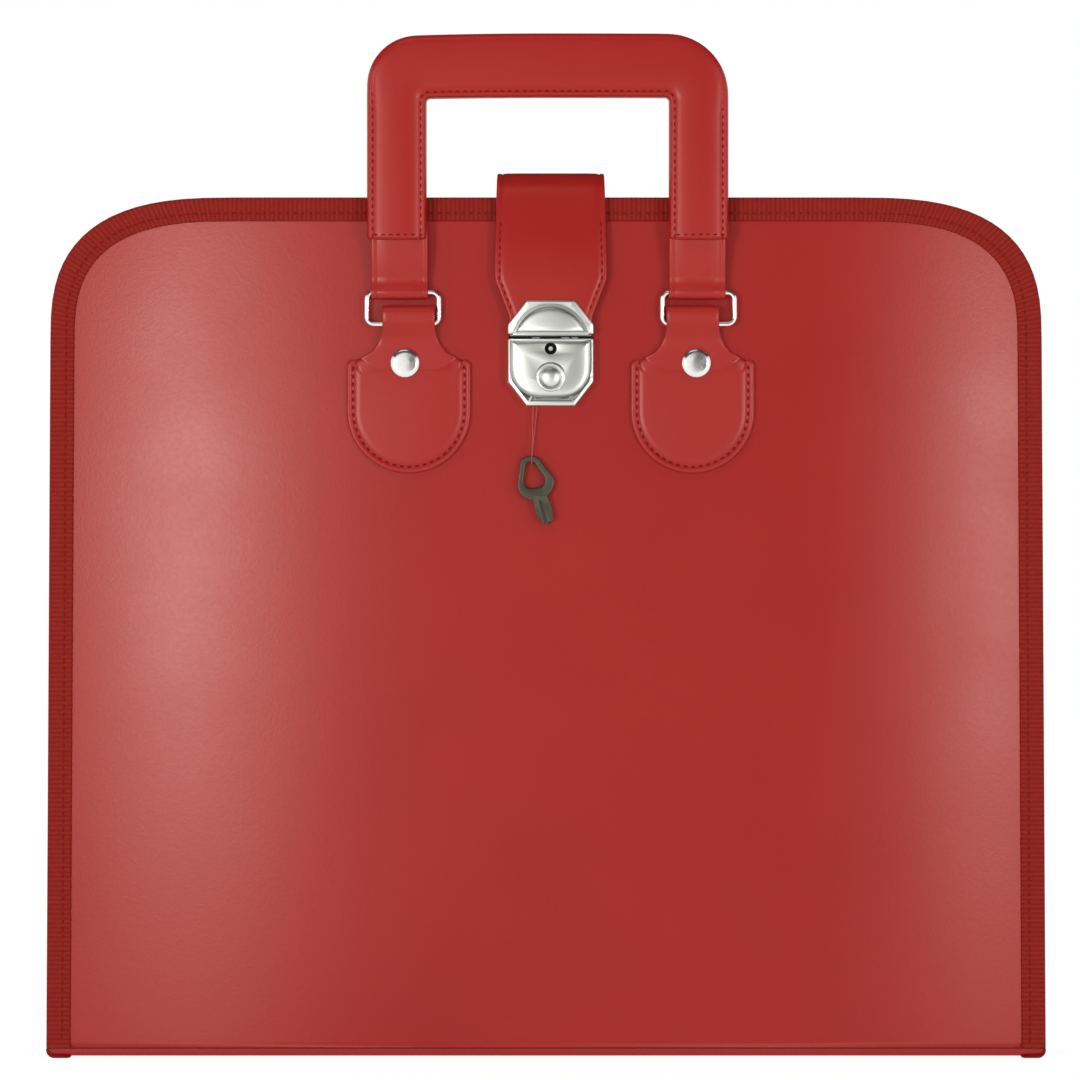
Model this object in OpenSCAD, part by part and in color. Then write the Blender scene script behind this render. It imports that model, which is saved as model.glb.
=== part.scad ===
// Apron case: two bound leatherette panels joined along the bottom, gussets at the sides, a strap
// over the top to a small lock, and a carrying handle on two rings.
// Millimetres. +Z is up, -Y is the front, and the case stands on z = 0.

/* [Body] */
// Width across the bindings at the bottom
body_w = 431; // [380:1:480]
// How much narrower the body is below its top corners than at the bottom
body_taper = 3.5; // [0:0.5:8]
// Height to the top of the binding
body_h = 371; // [340:1:420]
// Depth of the closed case over the two panels
body_d = 44; // [36:1:70]
// Width of a top corner, along the top edge
corner_w = 80; // [50:1:100]
// Height of a top corner, along the side
corner_h = 62; // [40:1:90]
// Exponent of the top corner's curve
corner_power = 2.8; // [2:0.1:4]
// Radius of the bottom corners
foot_r = 2; // [1:0.1:2.2]

/* [Panels] */
// Thickness of the leatherette cover
skin_t = 0.9; // [0.7:0.1:1.4]
// Thickness of the boards
board_t = 2.6; // [2:0.1:4]
// Thickness of the lining
lining_t = 0.6; // [0.5:0.1:1]
// Width of the binding on a panel's face
binding_w = 10.4; // [8:0.2:14]
// Thickness of the binding
binding_t = 0.9; // [0.7:0.1:1.4]
// Thickness of the gusset sheet
gusset_t = 0.8; // [0.6:0.1:1.2]
// Distance that the gusset's fold reaches inward
gusset_in = 25; // [16:1:30]
// Height of the fold where the front panel hinges
fold_z = 4; // [3.5:0.1:6]
// Gap between the front panel and the fold below it
fold_gap = 0.4; // [0.3:0.1:0.6]

/* [Tabs and rings] */
// Distance of a tab inward from its ring's middle
tab_in = 2.5; // [0:0.1:4]
// Width of a tab's shield
shield_w = 53.6; // [46:0.2:56]
// Height of a tab's shield below its shoulders
shield_h = 49; // [44:1:54]
// Drop of the shoulders below the ring's lower bar
shoulder_drop = 15.3; // [13:0.1:20]
// Radius of the shoulders' corners
shoulder_r = 2.5; // [1:0.5:4]
// Thickness of a tab's shield
shield_t = 2.4; // [1.8:0.1:3]
// Thickness of the leather in a loop round a ring
loop_t = 1.8; // [1.4:0.1:2.2]
// Width of a tab's loop
loop_w = 22.6; // [18:0.2:23]
// Slack of a tab's loop above the ring
loop_slack = 3.2; // [1:0.1:3.4]
// Diameter of a rivet's domed head
rivet_d = 13; // [9:0.5:16]
// Height of the rivet's dome
rivet_h = 2.8; // [2:0.1:4]
// Distance of a rivet outward from its shield's middle
rivet_out = 1.6; // [0:0.1:3]
// Drop of the rivets below the shoulders
rivet_drop = 1.5; // [0:0.5:8]
// Diameter of a ring's wire
wire_d = 2.4; // [2:0.1:3]
// Outer width of a ring
ring_w = 33.4; // [31:0.2:36]
// Outer height of a ring
ring_h = 16; // [14:0.5:20]
// Outer radius of a ring's corners
ring_r = 4; // [3:0.5:6]
// Distance of a ring inward from its leg's middle
ring_in = 1.4; // [0:0.1:3]
// Drop of the rings' lower bars below the body's top
ring_drop = 54.7; // [50:0.1:60]

/* [Handle] */
// Outer width of the handle
handle_w = 155.4; // [150:0.2:160]
// Height of the handle above the rings' upper bars
handle_h = 111; // [100:0.5:130]
// Width of a leg
leg_w = 25.4; // [22:0.2:27]
// Height of the top bar
bar_h = 27; // [22:0.5:30]
// Thickness of the padded handle
grip_t = 12; // [8:0.5:14]
// Height of the leg covers' ends above the rings' upper bars
leg_rise = 22.1; // [14:0.5:28]
// Outer radius of the handle's left corner
grip_r_left = 21; // [14:1:26]
// Outer radius of the handle's right corner
grip_r_right = 26; // [14:1:28]
// Inner corner radius of the handle
hole_r = 3; // [2:0.5:8]
// Thickness of the core in the handle
core_t = 5; // [3:0.5:6]
// Width of the strap end at each ring
end_w = 23; // [18:0.5:24]
// Sideways place of the handle's middle
handle_x = 0.7; // [-2:0.1:2]

/* [Strap] */
// Width of the strap over the top
strap_w = 48.5; // [40:0.5:54]
// Width of the strap at the lock
strap_end_w = 36; // [30:0.5:36.5]
// Thickness of the strap
strap_t = 2.6; // [2:0.1:3.4]
// Space between the strap and the panels
strap_s = 3.2; // [2.4:0.1:3.6]
// Height of the strap's crest above the body's top
crest_rise = 10.3; // [9:0.1:20]
// Radius of the strap's bends over the top
bend_r = 8; // [6:0.5:9]
// Height above the hasp where the strap starts to narrow
narrow_rise = 9.3; // [6:0.1:14]
// Drop of the strap's sewn end at the back below the body's top
anchor_drop = 49; // [36:1:60]

/* [Lock] */
// Sideways place of the lock, the strap and the tabs
lock_x = 2; // [-3:0.5:3]
// Width of the lock
lock_w = 36.9; // [32:0.1:40]
// Drop of the split between the lock and the hasp below the body's top
split_drop = 60.3; // [56:0.1:66]
// Height of the lock below the split
case_h = 29.7; // [28.5:0.1:34]
// Height of the hasp above the split
hasp_h = 15.7; // [14:0.1:20]
// Gap between the hasp and the lock
split_gap = 0.4; // [0.3:0.1:0.6]
// Depth of the lock case from the panel's skin
lock_t = 6.4; // [6:0.1:8]
// Height of the raised faces
raise_t = 0.8; // [0.5:0.1:1.2]
// Thickness of the metal sheet
sheet_t = 1; // [0.7:0.1:1.2]
// Thickness of the hasp's plate in front
hasp_t = 1; // [0.8:0.1:1.2]
// Thickness of the hasp's plate behind
hasp_back_t = 0.7; // [0.6:0.1:0.8]
// Width of the corner cuts of the lock
chamfer_x = 8; // [6:0.5:10]
// Height of the corner cuts of the lock
chamfer_z = 10.3; // [8:0.5:11]
// Drop of the keyhole below the split
keyhole_drop = 5.1; // [4.7:0.1:6]
// Radius of the keyhole
keyhole_r = 2.6; // [2.2:0.1:2.8]
// Height of the push button above the lock's lower edge
button_rise = 12.4; // [11:0.1:13.5]
// Radius of the push button
button_r = 4.5; // [3.5:0.1:4.8]
// Radius of the collar round the button
collar_r = 6.4; // [5.8:0.1:7]
// Travel of the push button
button_travel = 1.5; // [1:0.1:1.8]
// Travel of the bolt
bolt_travel = 3.5; // [2.5:0.1:4]

/* [Key] */
// Length of the key
key_l = 29.5; // [27:0.5:32]
// Drop of the key's bow below the lock
key_drop = 21.8; // [21:0.1:22.5]
// Sideways place of the key's bow
key_x = -6.6; // [-9:0.2:-4]
// Tilt of the key
key_tilt = 15; // [10:1:20]
// Width of the key's bow
bow_w = 15.6; // [13:0.2:17]
// Height of the key's bow
bow_h = 18; // [16:0.5:19]
// Thickness of the key's bow
bow_t = 2.1; // [1.8:0.1:2.6]
// Diameter of the key's stem
stem_d = 5.4; // [4:0.1:6]
// Diameter of the thread that the key hangs on
thread_d = 0.5; // [0.5:0.1:0.8]

/* [Clearances] */
// Running clearance on a radius
run_c = 0.1; // [0.05:0.05:0.15]
// Gap between bodies that move past each other
move_c = 0.3; // [0.25:0.05:0.4]

/* [Hidden] */

leatherette = "#A82828";
tape_red = "#962D23";
lining_red = "#5A1E1E";
board_grey = "#8C857A";
nickel = "#C9C6C0";
steel = "#8E8E8C";
dark_steel = "#5A5A48";
clear_nylon = "#E6E6E0";

round_fn = 48;
bend_fn = 32;

// Heights, down from the body's top
ring_z = body_h - ring_drop;
shoulder_z = ring_z - shoulder_drop;
shield_z = shoulder_z - shield_h;
rivet_z = shoulder_z - rivet_drop;
crest_z = body_h + crest_rise;
anchor_z = body_h - anchor_drop;
split_z = body_h - split_drop;
hasp_z1 = split_z + hasp_h;
narrow_z = hasp_z1 + narrow_rise;
lock_z0 = split_z - case_h;
keyhole_z = split_z - keyhole_drop;
button_z = lock_z0 + button_rise;

// The case's place in Y: the handle's face and the strap's back set the middle of the whole.
wire_r = wire_d / 2;
loop_r = wire_r + move_c + loop_t;
ring_s = loop_r + move_c;
ring_bar = ring_h - wire_d;
handle_s = max(ring_s, binding_t + move_c + 0.2 + grip_t / 2);
out_front = handle_s + grip_t / 2;
out_back = strap_s + strap_t;
front_y = (out_front - out_back - body_d) / 2;
back_y = front_y + body_d;
panel_t = skin_t + board_t + lining_t;
skin_z = binding_t;
floor_z = skin_z + skin_t + board_t + lining_t;
handle_pivot_z = ring_z + ring_bar;
handle_z = handle_pivot_z + handle_h;
leg_z = handle_pivot_z + leg_rise;
leg_x = (handle_w - leg_w) / 2;
ring_x = leg_x - ring_in;
tab_x = ring_x - tab_in;

// Outline of a panel, seen from the front, drawn in from the bindings' outer edge by a distance.
function half_w(z) = (body_w - body_taper * min(1, z / (body_h - corner_h))) / 2;
function corner(in) = [for (a = [0:6:90]) [
    half_w(body_h) - in - (corner_w - in) * (1 - pow(max(cos(a), 0), 2 / corner_power)),
    body_h - in - (corner_h - in) * (1 - pow(max(sin(a), 0), 2 / corner_power))
]];
function flip(points) = [for (i = [len(points) - 1:-1:0]) [-points[i][0], points[i][1]]];
function side(in, z0) = concat([[half_w(z0) - in, z0]], corner(in));
function outline(in, z0) = concat(side(in, z0), flip(side(in, z0)));

// Lays a shape drawn seen from the front, with X across and Y up, from one depth to another,
// measured outward from the front panel's skin.
module front_plate(s0, s1) {
    translate([0, front_y - s0, 0]) rotate([90, 0, 0]) linear_extrude(s1 - s0) children();
}

// The same behind the back panel's skin.
module back_plate(s0, s1) {
    translate([0, back_y + s1, 0]) rotate([90, 0, 0]) linear_extrude(s1 - s0) children();
}

// Draws a side view, outward across and up, at the front, and gives it a width about a place.
module front_section(x, w) {
    translate([x - w / 2, front_y, 0]) rotate([90, 0, 90]) linear_extrude(w) mirror([1, 0]) children();
}

module back_section(x, w) {
    translate([x - w / 2, back_y, 0]) rotate([90, 0, 90]) linear_extrude(w) children();
}

// A panel's outline from a height up, drawn in by a distance.
module panel_shape(in, z0) {
    polygon(outline(in, z0));
}

// A rod along the front's depth, from one depth to another.
module front_rod(x, z, r, s0, s1) {
    translate([x, front_y - s0, z]) rotate([90, 0, 0]) cylinder(h = s1 - s0, r = r, $fn = round_fn);
}

// A closed surface through rings of points, each ring turning clockwise seen from the last one.
module skin(rings) {
    n = len(rings[0]);
    last = len(rings) - 1;
    polyhedron(
        points = [for (ring = rings) for (p = ring) p],
        faces = concat(
            [[for (j = [0:n - 1]) j]],
            [for (i = [0:last - 1]) for (j = [0:n - 1]) [i * n + j, (i + 1) * n + j, i * n + (j + 1) % n]],
            [for (i = [0:last - 1]) for (j = [0:n - 1])
                [(i + 1) * n + j, (i + 1) * n + (j + 1) % n, i * n + (j + 1) % n]],
            [[for (j = [n - 1:-1:0]) last * n + j]]
        )
    );
}

function unit(v) = v / norm(v);
function along(p, i) = unit(p[min(i + 1, len(p) - 1)] - p[max(i - 1, 0)]);

// Rings of a tube along points, with a direction that the tube never runs in.
function tube_rings(p, r, sides, across) = [for (i = [0:len(p) - 1])
    let (d = along(p, i), u = unit(cross(across, d)), v = cross(d, u))
    [for (j = [0:sides - 1]) p[i] + r * (cos(360 * j / sides) * u + sin(360 * j / sides) * v)]
];

// A flat cap of a sphere, standing on z = 0.
module dome(r, h) {
    ball = (r * r + h * h) / (2 * h);
    intersection() {
        translate([0, 0, h - ball]) sphere(ball, $fn = round_fn);
        cylinder(h = h, r = r, $fn = round_fn);
    }
}

module front_dome(x, z, r, h, s) {
    translate([x, front_y - s, z]) rotate([90, 0, 0]) dome(r, h);
}

// Panels
binding_in_w = binding_w - 2.4;
board_in = binding_t + 0.3;
front_z0 = fold_z + fold_gap;
rivet_r = 2;
hole_gap = 0.1;
washer_r = 5;
washer_t = 1;
rivet_x = [for (m = [-1, 1]) lock_x + m * (tab_x + rivet_out)];
pin_r = 1;
pin_places = [
    [lock_x - 14.5, split_z + 5], [lock_x + 14.5, split_z + 5],
    [lock_x - 8, lock_z0 + 5], [lock_x + 8, lock_z0 + 5]
];

module fastener_holes() {
    for (x = rivet_x) translate([x, rivet_z]) circle(rivet_r + hole_gap, $fn = round_fn);
    for (p = pin_places) translate(p) circle(pin_r + hole_gap, $fn = round_fn);
}

module front_cover() {
    color(leatherette) front_plate(-skin_t, 0) difference() {
        panel_shape(binding_t, front_z0);
        fastener_holes();
    }
}

module front_board() {
    color(board_grey) front_plate(-skin_t - board_t, -skin_t) difference() {
        panel_shape(board_in, front_z0);
        fastener_holes();
    }
}

module front_lining() {
    color(lining_red) front_plate(-panel_t, -skin_t - board_t) difference() {
        panel_shape(board_in, front_z0);
        fastener_holes();
    }
}

// The binding's band of one width, from the panel's outer edge inward.
module band(width, z0) {
    difference() {
        panel_shape(0, z0);
        panel_shape(width, z0 - 1);
    }
}

module front_binding() {
    color(tape_red) {
        front_plate(0, binding_t) band(binding_w, front_z0);
        front_plate(-panel_t - binding_t, binding_t) band(binding_t, front_z0);
        front_plate(-panel_t - binding_t, -panel_t) band(binding_in_w, front_z0);
    }
}

module back_cover() {
    color(leatherette) back_plate(-skin_t, 0) panel_shape(binding_t, fold_z);
}

module back_board() {
    color(board_grey) back_plate(-skin_t - board_t, -skin_t) panel_shape(board_in, fold_z);
}

module back_lining() {
    color(lining_red) back_plate(-panel_t, -skin_t - board_t) panel_shape(board_in, fold_z);
}

module back_binding() {
    color(tape_red) {
        back_plate(0, binding_t) band(binding_w, fold_z);
        back_plate(-panel_t - binding_t, binding_t) band(binding_t, fold_z);
        back_plate(-panel_t - binding_t, -panel_t) band(binding_in_w, fold_z);
    }
}

// Bottom, between the front panel's fold and the back panel
foot_w = half_w(0);
floor_y0 = front_y + panel_t + binding_t + fold_gap;
floor_y1 = back_y - panel_t - binding_t;

// A block between two heights over the bottom's full width, drawn in at both sides.
module floor_block(in, y0, y1, z0, z1) {
    translate([in - foot_w, y0, z0]) cube([2 * (foot_w - in), y1 - y0, z1 - z0]);
}

module bottom_cover() {
    color(leatherette) {
        floor_block(binding_t, front_y, back_y, skin_z, skin_z + skin_t);
        floor_block(binding_t, front_y, front_y + skin_t, skin_z, fold_z);
        floor_block(binding_t, back_y - skin_t, back_y, skin_z, fold_z);
    }
}

module bottom_board() {
    color(board_grey) floor_block(board_in, floor_y0, floor_y1, skin_z + skin_t, floor_z - lining_t);
}

module bottom_lining() {
    color(lining_red) floor_block(board_in, floor_y0, floor_y1, floor_z - lining_t, floor_z);
}

// The binding's stretch under the right side of the bottom, with its lips at both folds.
module bottom_binding() {
    edge = foot_w - binding_w;
    difference() {
        intersection() {
            translate([edge, front_y - binding_t, 0]) cube([binding_w, body_d + 2 * binding_t, fold_z]);
            translate([edge, back_y + binding_t, 0]) rotate([90, 0, 0])
                linear_extrude(body_d + 2 * binding_t) {
                    square([binding_w - foot_r, fold_z]);
                    translate([0, foot_r]) square([binding_w, fold_z]);
                    translate([binding_w - foot_r, foot_r]) circle(foot_r, $fn = round_fn);
                }
        }
        translate([edge - 1, front_y, skin_z]) cube([binding_w - binding_t + 1, body_d, fold_z]);
    }
    translate([foot_w - binding_t, floor_y0, fold_z - 1])
        cube([binding_t, floor_y1 - floor_y0, floor_z + binding_t - fold_z + 1]);
    translate([foot_w - binding_in_w, floor_y0, floor_z])
        cube([binding_in_w, floor_y1 - floor_y0, binding_t]);
}

module bottom_binding_right() {
    color(tape_red) bottom_binding();
}

module bottom_binding_left() {
    color(tape_red) mirror([1, 0, 0]) bottom_binding();
}

// The right gusset: a strip that folds inward between the two panels' bindings.
module gusset() {
    x1 = foot_w - 2.5;
    x0 = foot_w - 7;
    y0 = front_y + panel_t + binding_t + move_c;
    y1 = floor_y1;
    mid = (y0 + y1) / 2;
    fold_x = x0 - gusset_in;
    z0 = floor_z + binding_t + 0.1;
    translate([0, 0, z0]) linear_extrude(body_h - corner_h - z0) polygon([
        [x1, y0], [x0, y0], [fold_x, mid], [x0, y1], [x1, y1], [x1, y1 - gusset_t],
        [x0 + gusset_t / 2, y1 - gusset_t], [fold_x + 1.5 * gusset_t, mid],
        [x0 + gusset_t / 2, y0 + gusset_t], [x1, y0 + gusset_t]
    ]);
}

module gusset_right() {
    color(leatherette) gusset();
}

module gusset_left() {
    color(leatherette) mirror([1, 0, 0]) gusset();
}

// Tabs: a shield on the panel, a neck, and a slack loop round the ring's lower bar
neck_z = shoulder_z + 10;
eye_r = wire_r + move_c;

// The shield and its flared neck, seen from the front, about x = 0.
module shield_shape() {
    half = shield_w / 2;
    neck = loop_w / 2;
    r = shoulder_r;
    flare = half - r - neck;
    right = concat(
        [for (a = [0:15:90]) [neck + flare * (1 - cos(a)), neck_z - (neck_z - shoulder_z) * sin(a)]],
        [for (a = [60:-30:0]) [half - r + r * cos(a), shoulder_z - r + r * sin(a)]]
    );
    polygon(concat(right, [[half, shield_z + half]], [[-half, shield_z + half]], flip(right)));
    translate([0, shield_z + half]) circle(half, $fn = 2 * round_fn);
    translate([-neck, neck_z - 1]) square([2 * neck, 3]);
}

// The two plies that leave the shield and go round the ring, as a side view.
module loop_shape() {
    top = ring_z + loop_slack;
    difference() {
        union() {
            polygon([
                [0, neck_z - 1], [0, neck_z + 1], [ring_s - loop_r, ring_z], [ring_s + loop_r, ring_z],
                [ring_s + 0.6 * loop_r, ring_z - 0.9 * loop_r], [shield_t, neck_z - 1]
            ]);
            translate([ring_s - loop_r, ring_z]) square([2 * loop_r, loop_slack]);
            translate([ring_s, top]) circle(loop_r, $fn = round_fn);
        }
        translate([ring_s, ring_z]) circle(eye_r, $fn = round_fn);
        translate([ring_s - eye_r, ring_z]) square([2 * eye_r, loop_slack]);
        translate([ring_s, top]) circle(eye_r, $fn = round_fn);
    }
}

module tab(m) {
    x = lock_x + m * tab_x;
    color(leatherette) {
        front_plate(0, shield_t) difference() {
            translate([x, 0]) shield_shape();
            fastener_holes();
        }
        front_section(x + m * 0.6, loop_w) loop_shape();
    }
}

module tab_left() {
    tab(-1);
}

module tab_right() {
    tab(1);
}

// Domed heads on shanks that go through the panel, upset over the washers inside.
module tab_rivets() {
    tail = panel_t + washer_t;
    color(nickel) for (x = rivet_x) {
        front_dome(x, rivet_z, rivet_d / 2, rivet_h, shield_t);
        front_rod(x, rivet_z, rivet_r, -tail, shield_t);
        front_rod(x, rivet_z, rivet_r + 1, -tail - 0.5, -tail);
    }
}

module rivet_washers() {
    color(steel) for (x = rivet_x) front_plate(-panel_t - washer_t, -panel_t) translate([x, rivet_z])
        difference() {
            circle(washer_r, $fn = round_fn);
            circle(rivet_r + hole_gap, $fn = round_fn);
        }
}

// Rings: rounded rectangles of round wire, standing on their lower bars
module ring(m) {
    x = lock_x + m * ring_x;
    half_x = ring_w / 2 - wire_r;
    half_z = ring_bar / 2;
    bend = ring_r - wire_r;
    color(nickel) translate([x, front_y - ring_s, ring_z + half_z]) rotate([90, 0, 0])
        for (mx = [0, 1], mz = [0, 1]) mirror([mx, 0, 0]) mirror([0, mz, 0]) {
            translate([half_x - bend, half_z - bend, 0]) rotate_extrude(angle = 90, $fn = round_fn)
                translate([bend, 0]) circle(wire_r, $fn = bend_fn);
            translate([half_x, 0, 0]) rotate([-90, 0, 0])
                cylinder(h = half_z - bend, r = wire_r, $fn = bend_fn);
            translate([0, half_z, 0]) rotate([0, 90, 0])
                cylinder(h = half_x - bend, r = wire_r, $fn = bend_fn);
        }
}

module ring_left() {
    ring(-1);
}

module ring_right() {
    ring(1);
}

// Handle: rings of a padded section that follow the outer and the inner edge of a D
core_in = 5.5;
core_gap = 0.3;
core_z = leg_z + 14;
end_t = 2 * loop_t;

// Points along an edge of the right half, from a leg's end up and over to the middle.
function edge(x, z, r, z0) = concat(
    [for (i = [0:3]) [x, z0 + (z - r - z0) * i / 3]],
    [for (a = [15:15:75]) [x - r + r * cos(a), z - r + r * sin(a)]],
    [for (i = [0:3]) [(x - r) * (1 - i / 4), z]]
);
function whole(right, left) = concat(right, [[0, right[len(right) - 1][1]]], flip(left));
function puff(v) = sign(v) * pow(abs(v), 0.65);

// The outer edge of one half, drawn in by a distance, for its corner's radius.
function grip_edge(in, r, z0) = edge(handle_w / 2 - in, handle_z - in, r - min(in, hole_r), z0);

// Sections between the edges, drawn in by a distance, with a thickness.
function grip_rings(in, t, z0) = let (
    hole = edge(handle_w / 2 - leg_w + in, handle_z - bar_h + in, hole_r, z0),
    outer = whole(grip_edge(in, grip_r_right, z0), grip_edge(in, grip_r_left, z0)),
    inner = whole(hole, hole)
) [for (i = [0:len(outer) - 1]) let (mid = (outer[i] + inner[i]) / 2, half = (outer[i] - inner[i]) / 2)
    [for (a = [0:24:336]) [
        handle_x + mid[0] + half[0] * puff(cos(a)),
        front_y - handle_s + t / 2 * puff(sin(a)),
        mid[1] + half[1] * puff(cos(a))
    ]]
];

// A strap end, as a side view: round the ring's upper bar, then up into the leg.
module end_shape() {
    difference() {
        union() {
            translate([ring_s, handle_pivot_z]) circle(loop_r, $fn = round_fn);
            polygon([
                [ring_s - end_t / 2, handle_pivot_z], [ring_s + end_t / 2, handle_pivot_z],
                [ring_s + end_t / 2, handle_pivot_z + 6], [handle_s + end_t / 2, leg_z],
                [handle_s + end_t / 2, core_z - 1], [handle_s - end_t / 2, core_z - 1],
                [handle_s - end_t / 2, leg_z], [ring_s - end_t / 2, handle_pivot_z + 6]
            ]);
        }
        translate([ring_s, handle_pivot_z]) circle(eye_r, $fn = round_fn);
    }
}

function end_x(m) = handle_x + m * (leg_x - 1);

module handle_end(m) {
    color(leatherette) front_section(end_x(m), end_w) end_shape();
}

module handle_end_left() {
    handle_end(-1);
}

module handle_end_right() {
    handle_end(1);
}

module handle_core() {
    color(steel) skin(grip_rings(core_in, core_t, core_z));
}

module handle_cover() {
    color(leatherette) difference() {
        skin(grip_rings(0, grip_t, leg_z));
        skin(grip_rings(core_in - core_gap, core_t + 2 * core_gap, core_z - core_gap));
        for (m = [-1, 1]) front_section(end_x(m), end_w + 2 * hole_gap)
            translate([handle_s - end_t / 2 - hole_gap, leg_z - 1])
                square([end_t + 2 * hole_gap, core_z - leg_z]);
    }
}

// Strap: sewn to the back, over the mouth and down the front to the lock
pivot_z = body_h + 1.2;
half_gap = 0.2;
pocket_w = 18;
pocket_h = 6;
hasp_z0 = split_z + split_gap;
hasp_pin_x = lock_w / 2 - 2.8;
hasp_pin_z = split_z + 5.3;

module strap_anchor() {
    step_z = body_h - binding_w;
    color(leatherette) back_section(lock_x, strap_w) polygon([
        [0, anchor_z], [strap_t, anchor_z], [strap_t, step_z - 6.2], [out_back, step_z - 0.6],
        [out_back, pivot_z - half_gap], [strap_s, pivot_z - half_gap], [strap_s, step_z - 0.4],
        [0, step_z - 6]
    ]);
}

// A side view with round upper corners, between two depths, standing on a height.
module arch_shape(y0, y1, z0, z1, r) {
    translate([y0, z0]) square([y1 - y0, z1 - r - z0]);
    intersection() {
        translate([y0, z0]) square([y1 - y0, z1 - z0]);
        union() {
            translate([y0 + r, z0]) square([y1 - y0 - 2 * r, z1 - z0]);
            for (y = [y0 + r, y1 - r]) translate([y, z1 - r]) circle(r, $fn = 2 * round_fn);
        }
    }
}

module strap_top() {
    z0 = pivot_z + half_gap;
    color(leatherette) translate([lock_x - strap_w / 2, 0, 0]) rotate([90, 0, 90])
        linear_extrude(strap_w) difference() {
            arch_shape(front_y - out_back, back_y + out_back, z0, crest_z, bend_r);
            arch_shape(front_y - strap_s, back_y + strap_s, z0 - 1, crest_z - strap_t, bend_r - strap_t);
        }
}

module strap_flap() {
    z1 = pivot_z - half_gap;
    z0 = hasp_z0 + 0.4;
    taper_z = hasp_z1 - 7;
    color(leatherette) front_plate(strap_s, out_back) translate([lock_x, 0]) difference() {
        polygon([
            [strap_w / 2, z1], [strap_w / 2, narrow_z], [strap_end_w / 2, taper_z], [strap_end_w / 2, z0],
            [-strap_end_w / 2, z0], [-strap_end_w / 2, taper_z], [-strap_w / 2, narrow_z], [-strap_w / 2, z1]
        ]);
        translate([-pocket_w / 2, z0 - 1]) square([pocket_w, pocket_h + 1]);
        hasp_pin_holes();
    }
}

// The outline of the hasp, drawn in by a distance, about x = 0.
module hasp_shape(in) {
    half = lock_w / 2 - in;
    polygon([
        [half, hasp_z0], [half, hasp_z1 - chamfer_z - in / 2], [half - chamfer_x, hasp_z1 - in],
        [chamfer_x - half, hasp_z1 - in], [-half, hasp_z1 - chamfer_z - in / 2], [-half, hasp_z0]
    ]);
}

module hasp_pin_holes() {
    for (m = [-1, 1]) translate([m * hasp_pin_x, hasp_pin_z]) circle(pin_r + hole_gap, $fn = round_fn);
}

module hasp_plate() {
    moon_r = 14.1;
    color(nickel) {
        front_plate(out_back, out_back + hasp_t) translate([lock_x, 0]) difference() {
            hasp_shape(0);
            hasp_pin_holes();
        }
        front_plate(out_back + hasp_t, out_back + hasp_t + raise_t) translate([lock_x, 0]) intersection() {
            translate([0, hasp_z1 - 2.2 - moon_r]) circle(moon_r, $fn = 2 * round_fn);
            translate([-moon_r, hasp_z0 + 0.6]) square(2 * moon_r);
        }
    }
}

module hasp_back_plate() {
    color(steel) front_plate(strap_s - hasp_back_t, strap_s) translate([lock_x, 0]) difference() {
        hasp_shape(1);
        hasp_pin_holes();
    }
}

module hasp_rivets() {
    color(nickel) for (m = [-1, 1])
        front_rod(lock_x + m * hasp_pin_x, hasp_pin_z, pin_r, strap_s - hasp_back_t, out_back + hasp_t + 0.3);
}

// Lock: a case on a base plate, whose bolt rises into the hasp
face_s = lock_t + raise_t;
rotor_r = keyhole_r + 0.8;
rotor_s0 = sheet_t + 0.2;
rotor_s1 = lock_t - sheet_t - 0.3;
post_r = 0.9;
bolt_s0 = strap_s + 0.4;
bolt_s1 = bolt_s0 + 1.2;
bolt_x0 = rotor_r + 1.2;
bolt_x1 = bolt_x0 + 3.4;
bolt_top = split_z - 0.3;
bar_z = keyhole_z - rotor_r - bolt_travel - 2.6;
catch_x0 = bolt_x1 + 1;
catch_x1 = catch_x0 + 2.8;
stem_r = 1.4;
head_s0 = bolt_s1 + move_c + button_travel;
spring_r = 2.3;
spring_wire = 0.5;

// The lock's outline below the split, drawn in by a distance, about x = 0.
module case_shape(in) {
    half = lock_w / 2 - in;
    polygon([
        [half, split_z - in], [-half, split_z - in], [-half, lock_z0 + chamfer_z + in / 2],
        [chamfer_x - half, lock_z0 + in], [half - chamfer_x, lock_z0 + in],
        [half, lock_z0 + chamfer_z + in / 2]
    ]);
}

// The base plate lies on the panel, under the case and the hasp, and holds the key's post.
module lock_base_plate() {
    half = lock_w / 2 - 0.6;
    color(nickel) {
        front_plate(0, sheet_t) difference() {
            translate([lock_x, 0]) union() {
                case_shape(0);
                polygon([
                    [half, split_z - 1], [half, hasp_z1 - chamfer_z - 0.6],
                    [half - chamfer_x, hasp_z1 - 0.6], [chamfer_x - half, hasp_z1 - 0.6],
                    [-half, hasp_z1 - chamfer_z - 0.6], [-half, split_z - 1]
                ]);
            }
            for (p = pin_places) translate(p) circle(pin_r + hole_gap, $fn = round_fn);
        }
        front_rod(lock_x, keyhole_z, post_r, sheet_t - 0.2, face_s - 0.6);
    }
}

module pillow_shape(in) {
    half = lock_w / 2 - 1.9 - in;
    z0 = lock_z0 + 3.2 + in;
    r = 5 - in;
    translate([-half, z0 + r]) square([2 * half, split_z - 0.5 - in - z0 - r]);
    translate([r - half, z0]) square([2 * (half - r), r + 1]);
    for (x = [r - half, half - r]) translate([x, z0 + r]) circle(r, $fn = round_fn);
}

// Slots in the case's upper wall, for the bolt's prongs and the catch.
module case_slots() {
    gap = 0.2;
    for (x = [-bolt_x1, bolt_x0, catch_x0])
        translate([lock_x + x - gap, front_y - bolt_s1 - gap, split_z - sheet_t - 1])
            cube([(x == catch_x0 ? catch_x1 - catch_x0 : bolt_x1 - bolt_x0) + 2 * gap,
                bolt_s1 - bolt_s0 + 2 * gap, sheet_t + 2]);
}

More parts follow.
